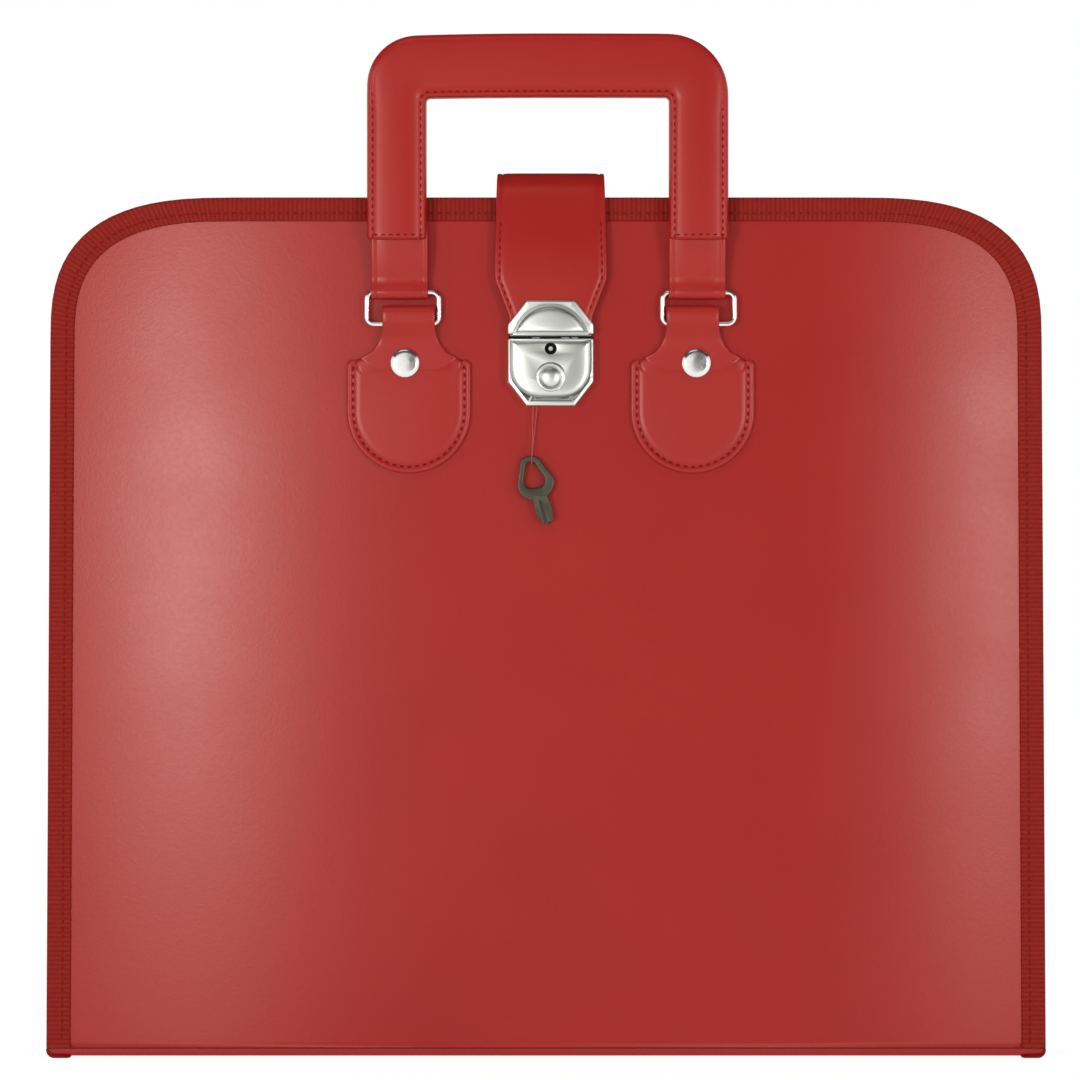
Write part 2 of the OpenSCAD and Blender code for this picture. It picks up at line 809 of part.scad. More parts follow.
module lock_case() {
    color(nickel) difference() {
        union() {
            front_plate(sheet_t, lock_t) translate([lock_x, 0]) case_shape(0);
            front_plate(lock_t - 0.2, face_s) translate([lock_x, 0]) pillow_shape(0);
            front_rod(lock_x, button_z, collar_r, lock_t, face_s + 0.5);
        }
        front_plate(sheet_t - 1, lock_t - sheet_t) translate([lock_x, 0]) case_shape(sheet_t);
        front_rod(lock_x, keyhole_z, keyhole_r, sheet_t, face_s + 1);
        front_rod(lock_x, button_z, button_r + run_c, sheet_t, face_s + 1);
        case_slots();
    }
}

// A plate inside the lining that the lock's rivets are closed on.
module lock_back_plate() {
    color(steel) front_plate(-panel_t - 0.8, -panel_t) difference() {
        translate([lock_x - lock_w / 2 + 1.5, lock_z0 + 1.5]) square([lock_w - 3, hasp_z1 - lock_z0 - 6]);
        for (p = pin_places) translate(p) circle(pin_r + hole_gap, $fn = round_fn);
    }
}

module lock_rivets() {
    color(steel) for (p = pin_places) {
        front_rod(p[0], p[1], pin_r, -panel_t - 0.8, sheet_t);
        front_rod(p[0], p[1], pin_r + 0.6, -panel_t - 1.2, -panel_t - 0.8);
    }
}

// The plug turns on the base plate's post, and its lug draws the bolt.
module lock_cylinder() {
    color(dark_steel) difference() {
        union() {
            front_rod(lock_x, keyhole_z, rotor_r, rotor_s0, rotor_s1);
            translate([lock_x - 0.8, front_y - bolt_s0 + 0.3, keyhole_z - rotor_r - 0.6])
                cube([1.6, bolt_s0 - 0.3 - rotor_s0, 2]);
        }
        front_rod(lock_x, keyhole_z, keyhole_r - 0.4, rotor_s0 + 1, rotor_s1 + 1);
        front_rod(lock_x, keyhole_z, post_r + run_c, rotor_s0 - 1, rotor_s1);
    }
}

module lock_bolt() {
    color(steel) front_plate(bolt_s0, bolt_s1) translate([lock_x, 0]) {
        translate([-bolt_x1, bar_z]) square([2 * bolt_x1, 2]);
        for (x = [-bolt_x1, bolt_x0]) translate([x, bar_z]) square([bolt_x1 - bolt_x0, bolt_top - bar_z]);
    }
}

module push_button() {
    color(nickel) {
        front_rod(lock_x, button_z, button_r, head_s0, face_s + 0.3);
        front_dome(lock_x, button_z, button_r, 1.1, face_s + 0.3);
        front_rod(lock_x, button_z, stem_r, sheet_t + button_travel + 0.3, head_s0 + 0.1);
    }
}

// A coil between the base plate and the button's head.
module button_spring() {
    turns = 3;
    steps = 12;
    s0 = sheet_t + spring_wire / 2;
    rise = head_s0 - spring_wire / 2 - s0;
    coil = [for (i = [0:turns * steps]) [
        lock_x + spring_r * cos(360 * i / steps),
        front_y - s0 - rise * i / (turns * steps),
        button_z + spring_r * sin(360 * i / steps)
    ]];
    color(steel) skin(tube_rings(coil, spring_wire / 2, 6, [0, 1, 0]));
}

// The catch slides down when the button is pressed; its nose ends level with the case's top.
module lock_catch() {
    foot_z = button_z - button_r - 1.9;
    color(steel) front_plate(bolt_s0, bolt_s1) translate([lock_x, 0]) {
        translate([0, foot_z]) square([catch_x1, 1.6]);
        translate([catch_x0, foot_z]) square([catch_x1 - catch_x0, bolt_top - foot_z]);
    }
}

// Key: a rounded three-sided bow that is narrow at its top, and a pipe stem, tilted as it hangs
key_s = stem_d / 2 + 0.5;
key_top = lock_z0 - key_drop;
bow_r = 2.9;
bow_mid = 12.2;
stem_z1 = 1.5 - bow_h;

// The bow's outline with its corners drawn in by a distance, about its top.
module bow_shape(in) {
    r = bow_r - in;
    translate([0, -bow_r]) circle(r, $fn = bend_fn);
    for (x = [bow_r - bow_w / 2, bow_w / 2 - bow_r]) translate([x, -bow_mid]) circle(r, $fn = bend_fn);
}

module key() {
    color(dark_steel) translate([key_x, front_y - key_s, key_top]) rotate([0, -key_tilt, 0]) {
        rotate([90, 0, 0]) translate([0, 0, -bow_t / 2]) linear_extrude(bow_t) difference() {
            hull() {
                bow_shape(0);
                translate([0, -bow_h + 1]) square([stem_d, 2], center = true);
            }
            hull() bow_shape(bow_t);
        }
        difference() {
            union() {
                translate([0, 0, -key_l]) cylinder(h = key_l + stem_z1, r = stem_d / 2 - 0.4, $fn = bend_fn);
                translate([0, 0, stem_z1 - 1.6]) cylinder(h = 1.6, r = stem_d / 2, $fn = bend_fn);
                translate([0, -0.8, -key_l + 0.6]) cube([4.4, 1.6, 3.6]);
            }
            translate([0, 0, -key_l - 1]) cylinder(h = 7, r = post_r + 0.2, $fn = bend_fn);
        }
    }
}

// The thread's route from the lock round the bow's top and back: sideways, outward, and height
// from the lock's lower edge.
thread_route = [
    [-5.6, 3.6, -0.4], [-5.6, 3.7, -1.8], [-5.6, 3.8, -3.2], [-5.7, 3.9, -4.6], [-5.7, 4, -6],
    [-5.7, 4.1, -7.4], [-5.8, 4.2, -8.8], [-5.8, 4.3, -10.2], [-5.8, 4.4, -11.6], [-5.9, 4.5, -13],
    [-5.9, 4.6, -14.4], [-5.9, 4.7, -15.8], [-6, 4.8, -17.2], [-6, 4.9, -18.6], [-6, 5, -20],
    [-6.1, 5, -21.4], [-6.1, 5, -22.6], [-6.1, 4.9, -23.8], [-6.1, 4.4, -25], [-6.1, 3.2, -25.5],
    [-6.1, 2, -25], [-6.1, 1.5, -23.8], [-6.1, 1.4, -22.6], [-6, 1.4, -21.4], [-5.9, 1.4, -20],
    [-5.8, 1.4, -18.6], [-5.7, 1.5, -17.2], [-5.5, 1.5, -15.8], [-5.4, 1.6, -14.4], [-5.2, 1.7, -13],
    [-5, 1.8, -11.6], [-4.9, 1.9, -10.2], [-4.7, 2, -8.8], [-4.6, 2.1, -7.4], [-4.4, 2.2, -6],
    [-4.3, 2.3, -4.6], [-4.2, 2.4, -3.2], [-4, 2.5, -1.8], [-3.9, 2.6, -0.4]
];
thread_points = [for (p = thread_route) [p[0], front_y - p[1], lock_z0 + p[2]]];

module key_thread() {
    color(clear_nylon) skin(tube_rings(thread_points, thread_d / 2, 8, [1, 0, 0]));
}

back_cover();
back_board();
back_lining();
back_binding();
strap_anchor();
bottom_cover();
bottom_board();
bottom_lining();
bottom_binding_left();
bottom_binding_right();
gusset_left();
gusset_right();
front_cover();
front_board();
front_lining();
front_binding();
tab_left();
tab_right();
tab_rivets();
rivet_washers();
ring_left();
ring_right();
handle_cover();
handle_core();
handle_end_left();
handle_end_right();
strap_top();
strap_flap();
hasp_plate();
hasp_back_plate();
hasp_rivets();
lock_base_plate();
lock_case();
lock_back_plate();
lock_rivets();
lock_cylinder();
lock_bolt();
push_button();
button_spring();
lock_catch();
key();
key_thread();
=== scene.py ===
# Apron case in red leatherette: bound panels, gussets, a padded handle on two rings, and a strap
# that closes at a small key lock. Lengths are in millimetres until a mesh is placed, in metres.
import math

import bmesh
import bpy
from mathutils import Matrix, Vector


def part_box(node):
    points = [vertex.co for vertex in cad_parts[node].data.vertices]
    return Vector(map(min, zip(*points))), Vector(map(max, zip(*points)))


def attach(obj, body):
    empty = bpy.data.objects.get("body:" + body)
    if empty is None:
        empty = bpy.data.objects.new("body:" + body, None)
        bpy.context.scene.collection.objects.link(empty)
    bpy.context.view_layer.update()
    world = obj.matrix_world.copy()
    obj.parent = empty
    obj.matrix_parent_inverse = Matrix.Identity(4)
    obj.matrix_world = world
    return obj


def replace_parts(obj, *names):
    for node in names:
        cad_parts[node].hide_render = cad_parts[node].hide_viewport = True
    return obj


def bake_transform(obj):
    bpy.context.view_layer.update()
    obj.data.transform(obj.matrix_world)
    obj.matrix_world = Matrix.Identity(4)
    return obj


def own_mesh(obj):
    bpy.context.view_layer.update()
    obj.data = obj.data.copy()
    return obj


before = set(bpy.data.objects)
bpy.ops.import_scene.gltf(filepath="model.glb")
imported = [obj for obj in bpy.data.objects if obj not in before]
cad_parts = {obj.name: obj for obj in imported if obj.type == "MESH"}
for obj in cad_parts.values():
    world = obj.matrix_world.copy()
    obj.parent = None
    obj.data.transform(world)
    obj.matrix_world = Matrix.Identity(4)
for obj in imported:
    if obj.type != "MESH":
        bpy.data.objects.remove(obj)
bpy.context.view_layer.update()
bpy.context.scene.view_settings.view_transform = "Standard"

# Camera, light and floor.
# The case stands upright on a white table and is photographed straight on with a long lens, with
# two soft lamps beside the camera and a larger one above.
MM = 0.001
camera_distance = 2200
view_width = 465.5
view_middle = (-2.6, 223.3)


def span(name):
    """The lowest and the highest corner of a node of the frame, in millimetres."""
    low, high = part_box(name)
    return Vector(low) / MM, Vector(high) / MM


skin_low = span("front_cover")[0]
front_y = skin_low.y
back_y = span("back_cover")[1].y

lens = bpy.data.cameras.new("photo_camera")
lens.sensor_width = 36
lens.lens = lens.sensor_width * camera_distance / view_width
camera = bpy.data.objects.new("photo_camera", lens)
camera.location = Vector((view_middle[0], front_y - camera_distance, view_middle[1])) * MM
camera.rotation_euler = (math.radians(90), 0, 0)
bpy.context.scene.collection.objects.link(camera)
bpy.context.scene.camera = camera


def linear(hex_colour):
    """An sRGB hex colour as linear RGBA."""
    parts = [int(hex_colour[i:i + 2], 16) / 255 for i in (1, 3, 5)]
    return [p / 12.92 if p <= 0.04045 else ((p + 0.055) / 1.055) ** 2.4 for p in parts] + [1]


def add(tree, kind, sockets=(), **settings):
    """Adds a node to a tree with its settings, and fills its sockets with values or links."""
    made = tree.nodes.new(kind)
    for name, value in settings.items():
        setattr(made, name, value)
    for name, value in dict(sockets).items():
        if isinstance(value, bpy.types.NodeSocket):
            tree.links.new(value, made.inputs[name])
        else:
            made.inputs[name].default_value = value
    return made


def lamp(name, place, aim, size, power):
    """A square soft lamp that faces a point."""
    light = bpy.data.lights.new(name, "AREA")
    light.shape = "RECTANGLE"
    light.size, light.size_y = size[0] * MM, size[1] * MM
    light.energy = power
    made = bpy.data.objects.new(name, light)
    made.location = Vector(place) * MM
    made.rotation_euler = (Vector(aim) - Vector(place)).to_track_quat("-Z", "Y").to_euler()
    bpy.context.scene.collection.objects.link(made)


lamp("left_lamp", (-900, front_y - 1900, 240), (-60, front_y, 215), (300, 240), 9.3)
lamp("right_lamp", (1150, front_y - 1900, 230), (80, front_y, 215), (240, 240), 7.2)
lamp("top_lamp", (-250, front_y - 900, 1500), (0, front_y, 250), (900, 500), 1.2)



def bare_tree(holder):
    """The emptied node tree of a world or a material."""
    holder.use_nodes = True
    holder.node_tree.nodes.clear()
    return holder.node_tree


def studio_piece(name, bm, paint):
    """A mesh drawn in metres, in one paint, that belongs to the studio and not to the case."""
    mesh = bpy.data.meshes.new(name)
    bm.to_mesh(mesh)
    bm.free()
    mesh.materials.append(paint)
    made = bpy.data.objects.new(name, mesh)
    bpy.context.scene.collection.objects.link(made)
    return made


# The white room lights the case at half the level that the camera and reflections see.
room_light = 0.52
world = bpy.data.worlds.new("white_studio")
bpy.context.scene.world = world
tree = bare_tree(world)
rays = add(tree, "ShaderNodeLightPath")
seen = add(tree, "ShaderNodeMath", {0: rays.outputs["Is Camera Ray"], 1: rays.outputs["Is Transmission Ray"]},
           operation="MAXIMUM")
shown = add(tree, "ShaderNodeMath", {0: seen.outputs[0], 1: rays.outputs["Is Glossy Ray"]},
            operation="MAXIMUM")
level = add(tree, "ShaderNodeMapRange", {"Value": shown.outputs[0], "To Min": room_light, "To Max": 1.0})
glow = add(tree, "ShaderNodeBackground", {"Color": (1, 1, 1, 1), "Strength": level.outputs["Result"]})
add(tree, "ShaderNodeOutputWorld", {"Surface": glow.outputs[0]})

# The table top is white, and seen brighter than it is lit, so that it merges with the room.
table_glow = 0.8
white = bpy.data.materials.new("white_laminate")
tree = bare_tree(white)
rays = add(tree, "ShaderNodeLightPath")
seen = add(tree, "ShaderNodeMath", {0: rays.outputs["Is Camera Ray"], 1: rays.outputs["Is Glossy Ray"]},
           operation="MAXIMUM")
share = add(tree, "ShaderNodeMath", {0: seen.outputs[0], 1: table_glow}, operation="MULTIPLY")
lit = add(tree, "ShaderNodeBsdfDiffuse", {"Color": linear("#F2F2F2")})
pale = add(tree, "ShaderNodeEmission", {"Color": (1, 1, 1, 1), "Strength": 1.15})
both = add(tree, "ShaderNodeMixShader", {0: share.outputs[0], 1: lit.outputs[0], 2: pale.outputs[0]})
add(tree, "ShaderNodeOutputMaterial", {"Surface": both.outputs[0]})
bm = bmesh.new()
bmesh.ops.create_grid(bm, x_segments=1, y_segments=1, size=4)
table = studio_piece("table_top", bm, white)

# Beside the camera, low down and overhead the room is dark, which only shiny things show: each
# card has its size, its place, its turn about the picture's width, and its brightness.
upright = math.pi / 2
dark_cards = (("dark_room_wall", (0.75, 2.0), (0.405, -2.6, 0.3), upright, 0.18),
              ("dark_room_foot", (3.6, 1.8), (0.0, -2.58, -0.95), upright, 0.03),
              ("dark_room_ceiling", (6.0, 12.0), (0.0, -1.0, 1.9), 0, 0.05))
for name, size, centre, turn, level in dark_cards:
    grey = bpy.data.materials.new(name + "_paint")
    tree = bare_tree(grey)
    dim = add(tree, "ShaderNodeEmission", {"Color": (1, 1, 1, 1), "Strength": level})
    add(tree, "ShaderNodeOutputMaterial", {"Surface": dim.outputs[0]})
    bm = bmesh.new()
    bmesh.ops.create_grid(bm, x_segments=1, y_segments=1, size=0.5)
    bmesh.ops.scale(bm, verts=bm.verts, vec=(*size, 1))
    bmesh.ops.rotate(bm, verts=bm.verts, cent=(0, 0, 0), matrix=Matrix.Rotation(turn, 3, "X"))
    bmesh.ops.translate(bm, verts=bm.verts, vec=centre)
    dark_wall = studio_piece(name, bm, grey)
    for ray in ("camera", "diffuse", "shadow", "transmission", "volume_scatter"):
        setattr(dark_wall, "visible_" + ray, False)

# Nylon thread and key.
# The key hangs as sold on a loop of clear 0.5 mm nylon monofilament that comes out under the
# lock. The thread's route repeats the frame's own, sideways, outward and up from the lock's edge.
lock_low, lock_high = span("lock_case")
lock_x = (lock_low.x + lock_high.x) / 2
thread_d = 0.5
thread_route = [
    (-5.6, 3.6, -0.4), (-5.6, 3.7, -1.8), (-5.6, 3.8, -3.2), (-5.7, 3.9, -4.6), (-5.7, 4, -6),
    (-5.7, 4.1, -7.4), (-5.8, 4.2, -8.8), (-5.8, 4.3, -10.2), (-5.8, 4.4, -11.6), (-5.9, 4.5, -13),
    (-5.9, 4.6, -14.4), (-5.9, 4.7, -15.8), (-6, 4.8, -17.2), (-6, 4.9, -18.6), (-6, 5, -20),
    (-6.1, 5, -21.4), (-6.1, 5, -22.6), (-6.1, 4.9, -23.8), (-6.1, 4.4, -25), (-6.1, 3.2, -25.5),
    (-6.1, 2, -25), (-6.1, 1.5, -23.8), (-6.1, 1.4, -22.6), (-6, 1.4, -21.4), (-5.9, 1.4, -20),
    (-5.8, 1.4, -18.6), (-5.7, 1.5, -17.2), (-5.5, 1.5, -15.8), (-5.4, 1.6, -14.4), (-5.2, 1.7, -13),
    (-5, 1.8, -11.6), (-4.9, 1.9, -10.2), (-4.7, 2, -8.8), (-4.6, 2.1, -7.4), (-4.4, 2.2, -6),
    (-4.3, 2.3, -4.6), (-4.2, 2.4, -3.2), (-4, 2.5, -1.8), (-3.9, 2.6, -0.4),
]


def out(x, s, z):
    """A place in front of the front panel's skin: sideways, outward and up."""
    return Vector((x, front_y - s, z))


def finish_of(name, **sockets):
    """A material with one shader, whose uniform values are set on its own sockets."""
    made = bpy.data.materials.new(name)
    made.use_nodes = True
    shader = made.node_tree.nodes["Principled BSDF"]
    for socket, value in sockets.items():
        shader.inputs[socket.replace("_", " ")].default_value = value
    return made, made.node_tree, shader


def place(bm, name, material, body, slot, angle=40):
    """Makes a piece of a mesh drawn in millimetres: soft up to an angle, and riding on a body."""
    bmesh.ops.scale(bm, vec=(MM, MM, MM), verts=bm.verts)
    made_mesh = bpy.data.meshes.new(name)
    bm.to_mesh(made_mesh)
    bm.free()
    made_mesh.shade_smooth()
    made_mesh.set_sharp_from_angle(angle=math.radians(angle))
    made_mesh.materials.append(material)
    made = bpy.data.objects.new(name, made_mesh)
    bpy.context.scene.collection.objects.link(made)
    if body:
        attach(made, body)
    return made


# Clear nylon: a pale, slightly cloudy strand, its colour nearly lost against the leatherette.
nylon, tree, shader = finish_of("clear_nylon_monofilament", Roughness=0.4, IOR=1.53,
                                Specular_IOR_Level=0.3)
where = add(tree, "ShaderNodeTexCoord")
cloud = add(tree, "ShaderNodeTexNoise", {"Vector": where.outputs["Object"], "Scale": 400.0, "Detail": 2.0})
tint = add(tree, "ShaderNodeMix",
           {"Factor": cloud.outputs["Fac"], 6: linear("#B04440"), 7: linear("#BE5E56")}, data_type="RGBA")
tree.links.new(tint.outputs[2], shader.inputs["Base Color"])

line = bpy.data.curves.new("nylon_thread", "CURVE")
line.dimensions = "3D"
line.bevel_depth = thread_d / 2 * MM
line.bevel_resolution = 2
strand = line.splines.new("POLY")
strand.points.add(len(thread_route) - 1)
thread_points = [out(x, s, lock_low.z + z) * MM for x, s, z in thread_route]
for point, at in zip(strand.points, thread_points):
    point.co = (*at, 1)
line.materials.append(nylon)
thread = bpy.data.objects.new("nylon_thread", line)
bpy.context.scene.collection.objects.link(thread)
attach(thread, "key")
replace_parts(thread, "key_thread")


def arc(x, z, r, a0, a1, steps):
    """Points on an arc, from one angle to another, both included."""
    turn = [math.radians(a0 + (a1 - a0) * i / steps) for i in range(steps + 1)]
    return [(x + r * math.cos(a), z + r * math.sin(a)) for a in turn]


def plate(bm, outline, s0, s1, round_edge=0.0, segments=3):
    """A sheet with an outline seen from the front, between two depths, with a rounded front edge."""
    face = bm.faces.new([bm.verts.new(out(x, s0, z)) for x, z in outline])
    top = bmesh.ops.extrude_face_region(bm, geom=[face])["geom"]
    verts = [g for g in top if isinstance(g, bmesh.types.BMVert)]
    bmesh.ops.translate(bm, verts=verts, vec=(0, s0 - s1, 0))
    face = next(g for g in top if isinstance(g, bmesh.types.BMFace))
    if round_edge:
        rim = list(face.edges)
        bmesh.ops.bevel(bm, geom=rim, offset=round_edge, offset_type="OFFSET", segments=segments,
                        profile=0.5, affect="EDGES", material=-1, clamp_overlap=True)
    bmesh.ops.recalc_face_normals(bm, faces=bm.faces)


def drawn_in(corners, inward, steps=4):
    """A convex outline of (x, z, radius) corners, drawn in by a distance, with rounded corners."""
    points = []
    count = len(corners)
    for k in range(count):
        here, before, after = (Vector(corners[i % count][:2]) for i in (k, k - 1, k + 1))
        first, second = (here - before).normalized(), (after - here).normalized()
        normal_a, normal_b = Vector((-first.y, first.x)), Vector((-second.y, second.x))
        turn = first.x * second.y - first.y * second.x
        r = max(corners[k][2] - inward, 0.12)
        centre = here + (normal_a + normal_b) * ((inward + r) / (1 + normal_a.dot(normal_b)))
        start = math.degrees(math.atan2(-normal_a.y, -normal_a.x))
        sweep = math.degrees(math.asin(max(-1, min(1, turn))))
        if normal_a.dot(normal_b) < 0:
            sweep = 180 - sweep
        points += arc(centre.x, centre.y, r, start, start + sweep, steps)
    return points


def cut(piece, *cutters):
    """Cuts closed shapes out of a piece for good, and drops them."""
    for cutter in cutters:
        knife = piece.modifiers.new("cut", "BOOLEAN")
        knife.object, knife.operation, knife.solver = cutter, "DIFFERENCE", "EXACT"
    bpy.context.view_layer.update()
    solid = bpy.data.meshes.new_from_object(piece.evaluated_get(bpy.context.evaluated_depsgraph_get()))
    piece.modifiers.clear()
    piece.data = solid
    for cutter in cutters:
        bpy.data.objects.remove(cutter)


def soften(piece, width, segments=3, angle=35):
    """Rounds a piece's sharp edges, as a stamping's are."""
    edge = piece.modifiers.new("edge", "BEVEL")
    edge.width, edge.segments, edge.limit_method = width * MM, segments, "ANGLE"
    edge.angle_limit = math.radians(angle)
    edge.use_clamp_overlap = True
    edge.harden_normals = False


# Key: a blanked and tumbled steel key with a rolled stem, antique plated and rubbed bright along
# its edges. Its bow hangs askew, so both are drawn as they hang, about the bow's top.
key_low, key_high = span("key")
bow_t, stem_t = 2.1, 3.4
key_top = Vector((-6.4, 0, key_high.z))
key_s = front_y - (key_low.y + key_high.y) / 2

antique, tree, shader = finish_of("antique_plated_steel", Metallic=0.85, Roughness=0.42)
where = add(tree, "ShaderNodeTexCoord")
patch = add(tree, "ShaderNodeTexNoise", {"Vector": where.outputs["Object"], "Scale": 600.0, "Detail": 4.0})
rub = add(tree, "ShaderNodeNewGeometry")
worn = add(tree, "ShaderNodeMapRange",
           {"Value": rub.outputs["Pointiness"], "From Min": 0.5, "From Max": 0.62})
tone = add(tree, "ShaderNodeMix",
           {"Factor": patch.outputs["Fac"], 6: linear("#33322A"), 7: linear("#4C493C")}, data_type="RGBA")
bright = add(tree, "ShaderNodeMix",
             {"Factor": worn.outputs["Result"], 6: tone.outputs[2], 7: linear("#8C8672")}, data_type="RGBA")
tree.links.new(bright.outputs[2], shader.inputs["Base Color"])
pits = add(tree, "ShaderNodeBump",
           {"Height": patch.outputs["Fac"], "Strength": 0.4, "Distance": 0.00005})
tree.links.new(pits.outputs[0], shader.inputs["Normal"])


def key_plate(name, outline, thick):
    """A plate of the key, midway in its depth."""
    bm = bmesh.new()
    plate(bm, [(key_top.x + x, key_top.z + z) for x, z in outline], key_s - thick / 2, key_s + thick / 2)
    return place(bm, name, antique, None, "dark_steel", 35)


bow = [(4.4, -20.6, 1.5), (11.3, -11.2, 5.5), (2.6, 0.15, 3.6), (-4.3, 0.15, 3.6), (-6.5, -16.6, 6.5)]
bow_hole = [(8.0, -12.5, 3.0), (1.2, -2.5, 1.3), (-2.2, -2.5, 1.3), (-3.8, -14.4, 3.2)]
stem_edge = ([(1.0, -17.0), (1.3, -20.2), (1.6, -22.4), (1.9, -24.1), (2.7, -25.2), (3.6, -26.8)]
             + arc(5.8, -28.4, 0.9, 200, 300, 4) + [(6.8, -28.9), (7.1, -28.1), (8.6, -27.7)]
             + arc(8.7, -27.0, 0.7, -60, 10, 3) + [(9.3, -24.5), (8.5, -21.4), (6.8, -17.0)])
key = key_plate("key_bow", drawn_in(bow, 0, 6), bow_t)
cut(key, key_plate("key_bow_hole", drawn_in(bow_hole, 0, 6), bow_t + 4))
soften(key, 0.6, 4)
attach(key, "key")
stem = key_plate("key_stem", stem_edge, stem_t)
seam = [(3.2, -19.0), (4.4, -19.4), (6.9, -27.6), (6.0, -30)]
groove = key_plate("stem_seam", seam, stem_t)
groove.data.transform(Matrix.Translation((0, (0.45 - stem_t) * MM, 0)))
cut(stem, groove)
soften(stem, 1.1, 5)
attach(stem, "key")
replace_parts(key, "key")

# Panels: front, back and bottom.
# Smooth red leatherette, a vinyl skin with a fine calf grain, glued over book board and lined
# with a plain woven cloth. The skin is drawn tight at the binding and lies a little full inside.
body_w = span("back_binding")[1].x * 2
body_top = span("back_binding")[1].z
taper, corner_w, corner_h, corner_power = 3.5, 80, 62, 2.8
binding_w, binding_t = 10.4, 0.9
panel_t, skin_t, skin_crown = 4.1, 0.9, 0.15
front_foot = skin_low.z
back_foot = span("back_cover")[0].z


def half_width(z):
    """Half the case's width at a height, over the bindings."""
    return (body_w - taper * min(1, z / (body_top - corner_h))) / 2


def half_outline(inward, foot, step=7.5):
    """The right half of a panel's outline, drawn in by a distance, from its foot to the middle."""
    corner = []
    for a in range(0, 91, 5):
        c, s = max(math.cos(math.radians(a)), 0), max(math.sin(math.radians(a)), 0)
        corner.append((half_width(body_top) - inward - (corner_w - inward) * (1 - c ** (2 / corner_power)),
                       body_top - inward - (corner_h - inward) * (1 - s ** (2 / corner_power))))
    rise = corner[0][1] - foot
    count = max(2, round(rise / step))
    side = [(half_width(foot + rise * i / count) - inward, foot + rise * i / count) for i in range(count)]
    count = round(corner[-1][0] / step)
    top = [(corner[-1][0] * (1 - i / count), corner[-1][1]) for i in range(1, count + 1)]
    return side + corner + top


def whole_outline(inward, foot, step=7.5):
    """A panel's outline from its right foot over the top to its left foot."""
    right = half_outline(inward, foot, step)
    return right + [(-x, z) for x, z in reversed(right[:-1])]


def leatherette_of(name, deep, light, roughness, pulled=()):
    """Red vinyl leatherette: satin, with a fine grain and a faint unevenness of tone."""
    made, tree, shader = finish_of(name, Roughness=roughness, IOR=1.5, Specular_IOR_Level=0.5,
                                   Specular_Tint=linear("#FFE4D8"))
    where = add(tree, "ShaderNodeTexCoord")
    # Tone drifts over 60 mm, and a fine mottle of 2 mm lies over it.
    drift = add(tree, "ShaderNodeTexNoise",
                {"Vector": where.outputs["Object"], "Scale": 16.0, "Detail": 2.0})
    mottle = add(tree, "ShaderNodeTexNoise",
                 {"Vector": where.outputs["Object"], "Scale": 480.0, "Detail": 3.0})
    both = add(tree, "ShaderNodeMix", {"Factor": 0.3, 2: drift.outputs["Fac"], 3: mottle.outputs["Fac"]})
    spread = add(tree, "ShaderNodeMapRange", {"Value": both.outputs[0], "From Min": 0.2, "From Max": 0.8})
    tone = add(tree, "ShaderNodeMix",
               {"Factor": spread.outputs["Result"], 6: linear(deep), 7: linear(light)}, data_type="RGBA")
    tree.links.new(tone.outputs[2], shader.inputs["Base Color"])
    wear = add(tree, "ShaderNodeMapRange", {"Value": both.outputs[0], "From Min": 0.2, "From Max": 0.8,
                                            "To Min": roughness - 0.04, "To Max": roughness + 0.05})
    tree.links.new(wear.outputs["Result"], shader.inputs["Roughness"])
    # The grain's pebbles are 0.5 mm on the real skin, and 0.9 mm here, so that they show.
    grain = add(tree, "ShaderNodeTexVoronoi", {"Vector": where.outputs["Object"], "Scale": 1100.0},
                feature="SMOOTH_F1")
    height = add(tree, "ShaderNodeMath", {0: grain.outputs["Distance"], 1: mottle.outputs["Fac"]},
                 operation="ADD")
    bump = add(tree, "ShaderNodeBump", {"Height": height.outputs[0], "Strength": 0.35, "Distance": 0.00004})
    tree.links.new(bump.outputs[0], shader.inputs["Normal"])
    if pulled:
        # Towards its edges the skin turns away a little, too little to model on a flat face:
        # each entry is an axis, its direction, where the turn starts, and how steep it grows.
        axes = add(tree, "ShaderNodeSeparateXYZ", {"Vector": where.outputs["Object"]})
        falls = []
        for axis, factor, start, steep in pulled:
            past = add(tree, "ShaderNodeMath", {0: axes.outputs[axis], 1: factor, 2: -start * factor},
                       operation="MULTIPLY_ADD")
            past = add(tree, "ShaderNodeMath", {0: past.outputs[0], 1: 0.0}, operation="MAXIMUM")
            square = add(tree, "ShaderNodeMath", {0: past.outputs[0], 1: 2.0}, operation="POWER")
            falls.append(add(tree, "ShaderNodeMath", {0: square.outputs[0], 1: -steep}, operation="MULTIPLY"))
        fall = falls[0]
        for more in falls[1:]:
            fall = add(tree, "ShaderNodeMath", {0: fall.outputs[0], 1: more.outputs[0]}, operation="ADD")
        pull = add(tree, "ShaderNodeBump", {"Height": fall.outputs[0], "Strength": 1.0, "Distance": 1.0})
        tree.links.new(pull.outputs[0], bump.inputs["Normal"])
    return made


panel_skin = leatherette_of("calf_grain_leatherette", "#A81412", "#B01A17", 0.31,
                           pulled=(("X", -1, -0.05, 0.74), ("X", 1, 0.1, 1.0)))
fold_skin = leatherette_of("calf_grain_leatherette_of_folds", "#A81414", "#B01C19", 0.38)


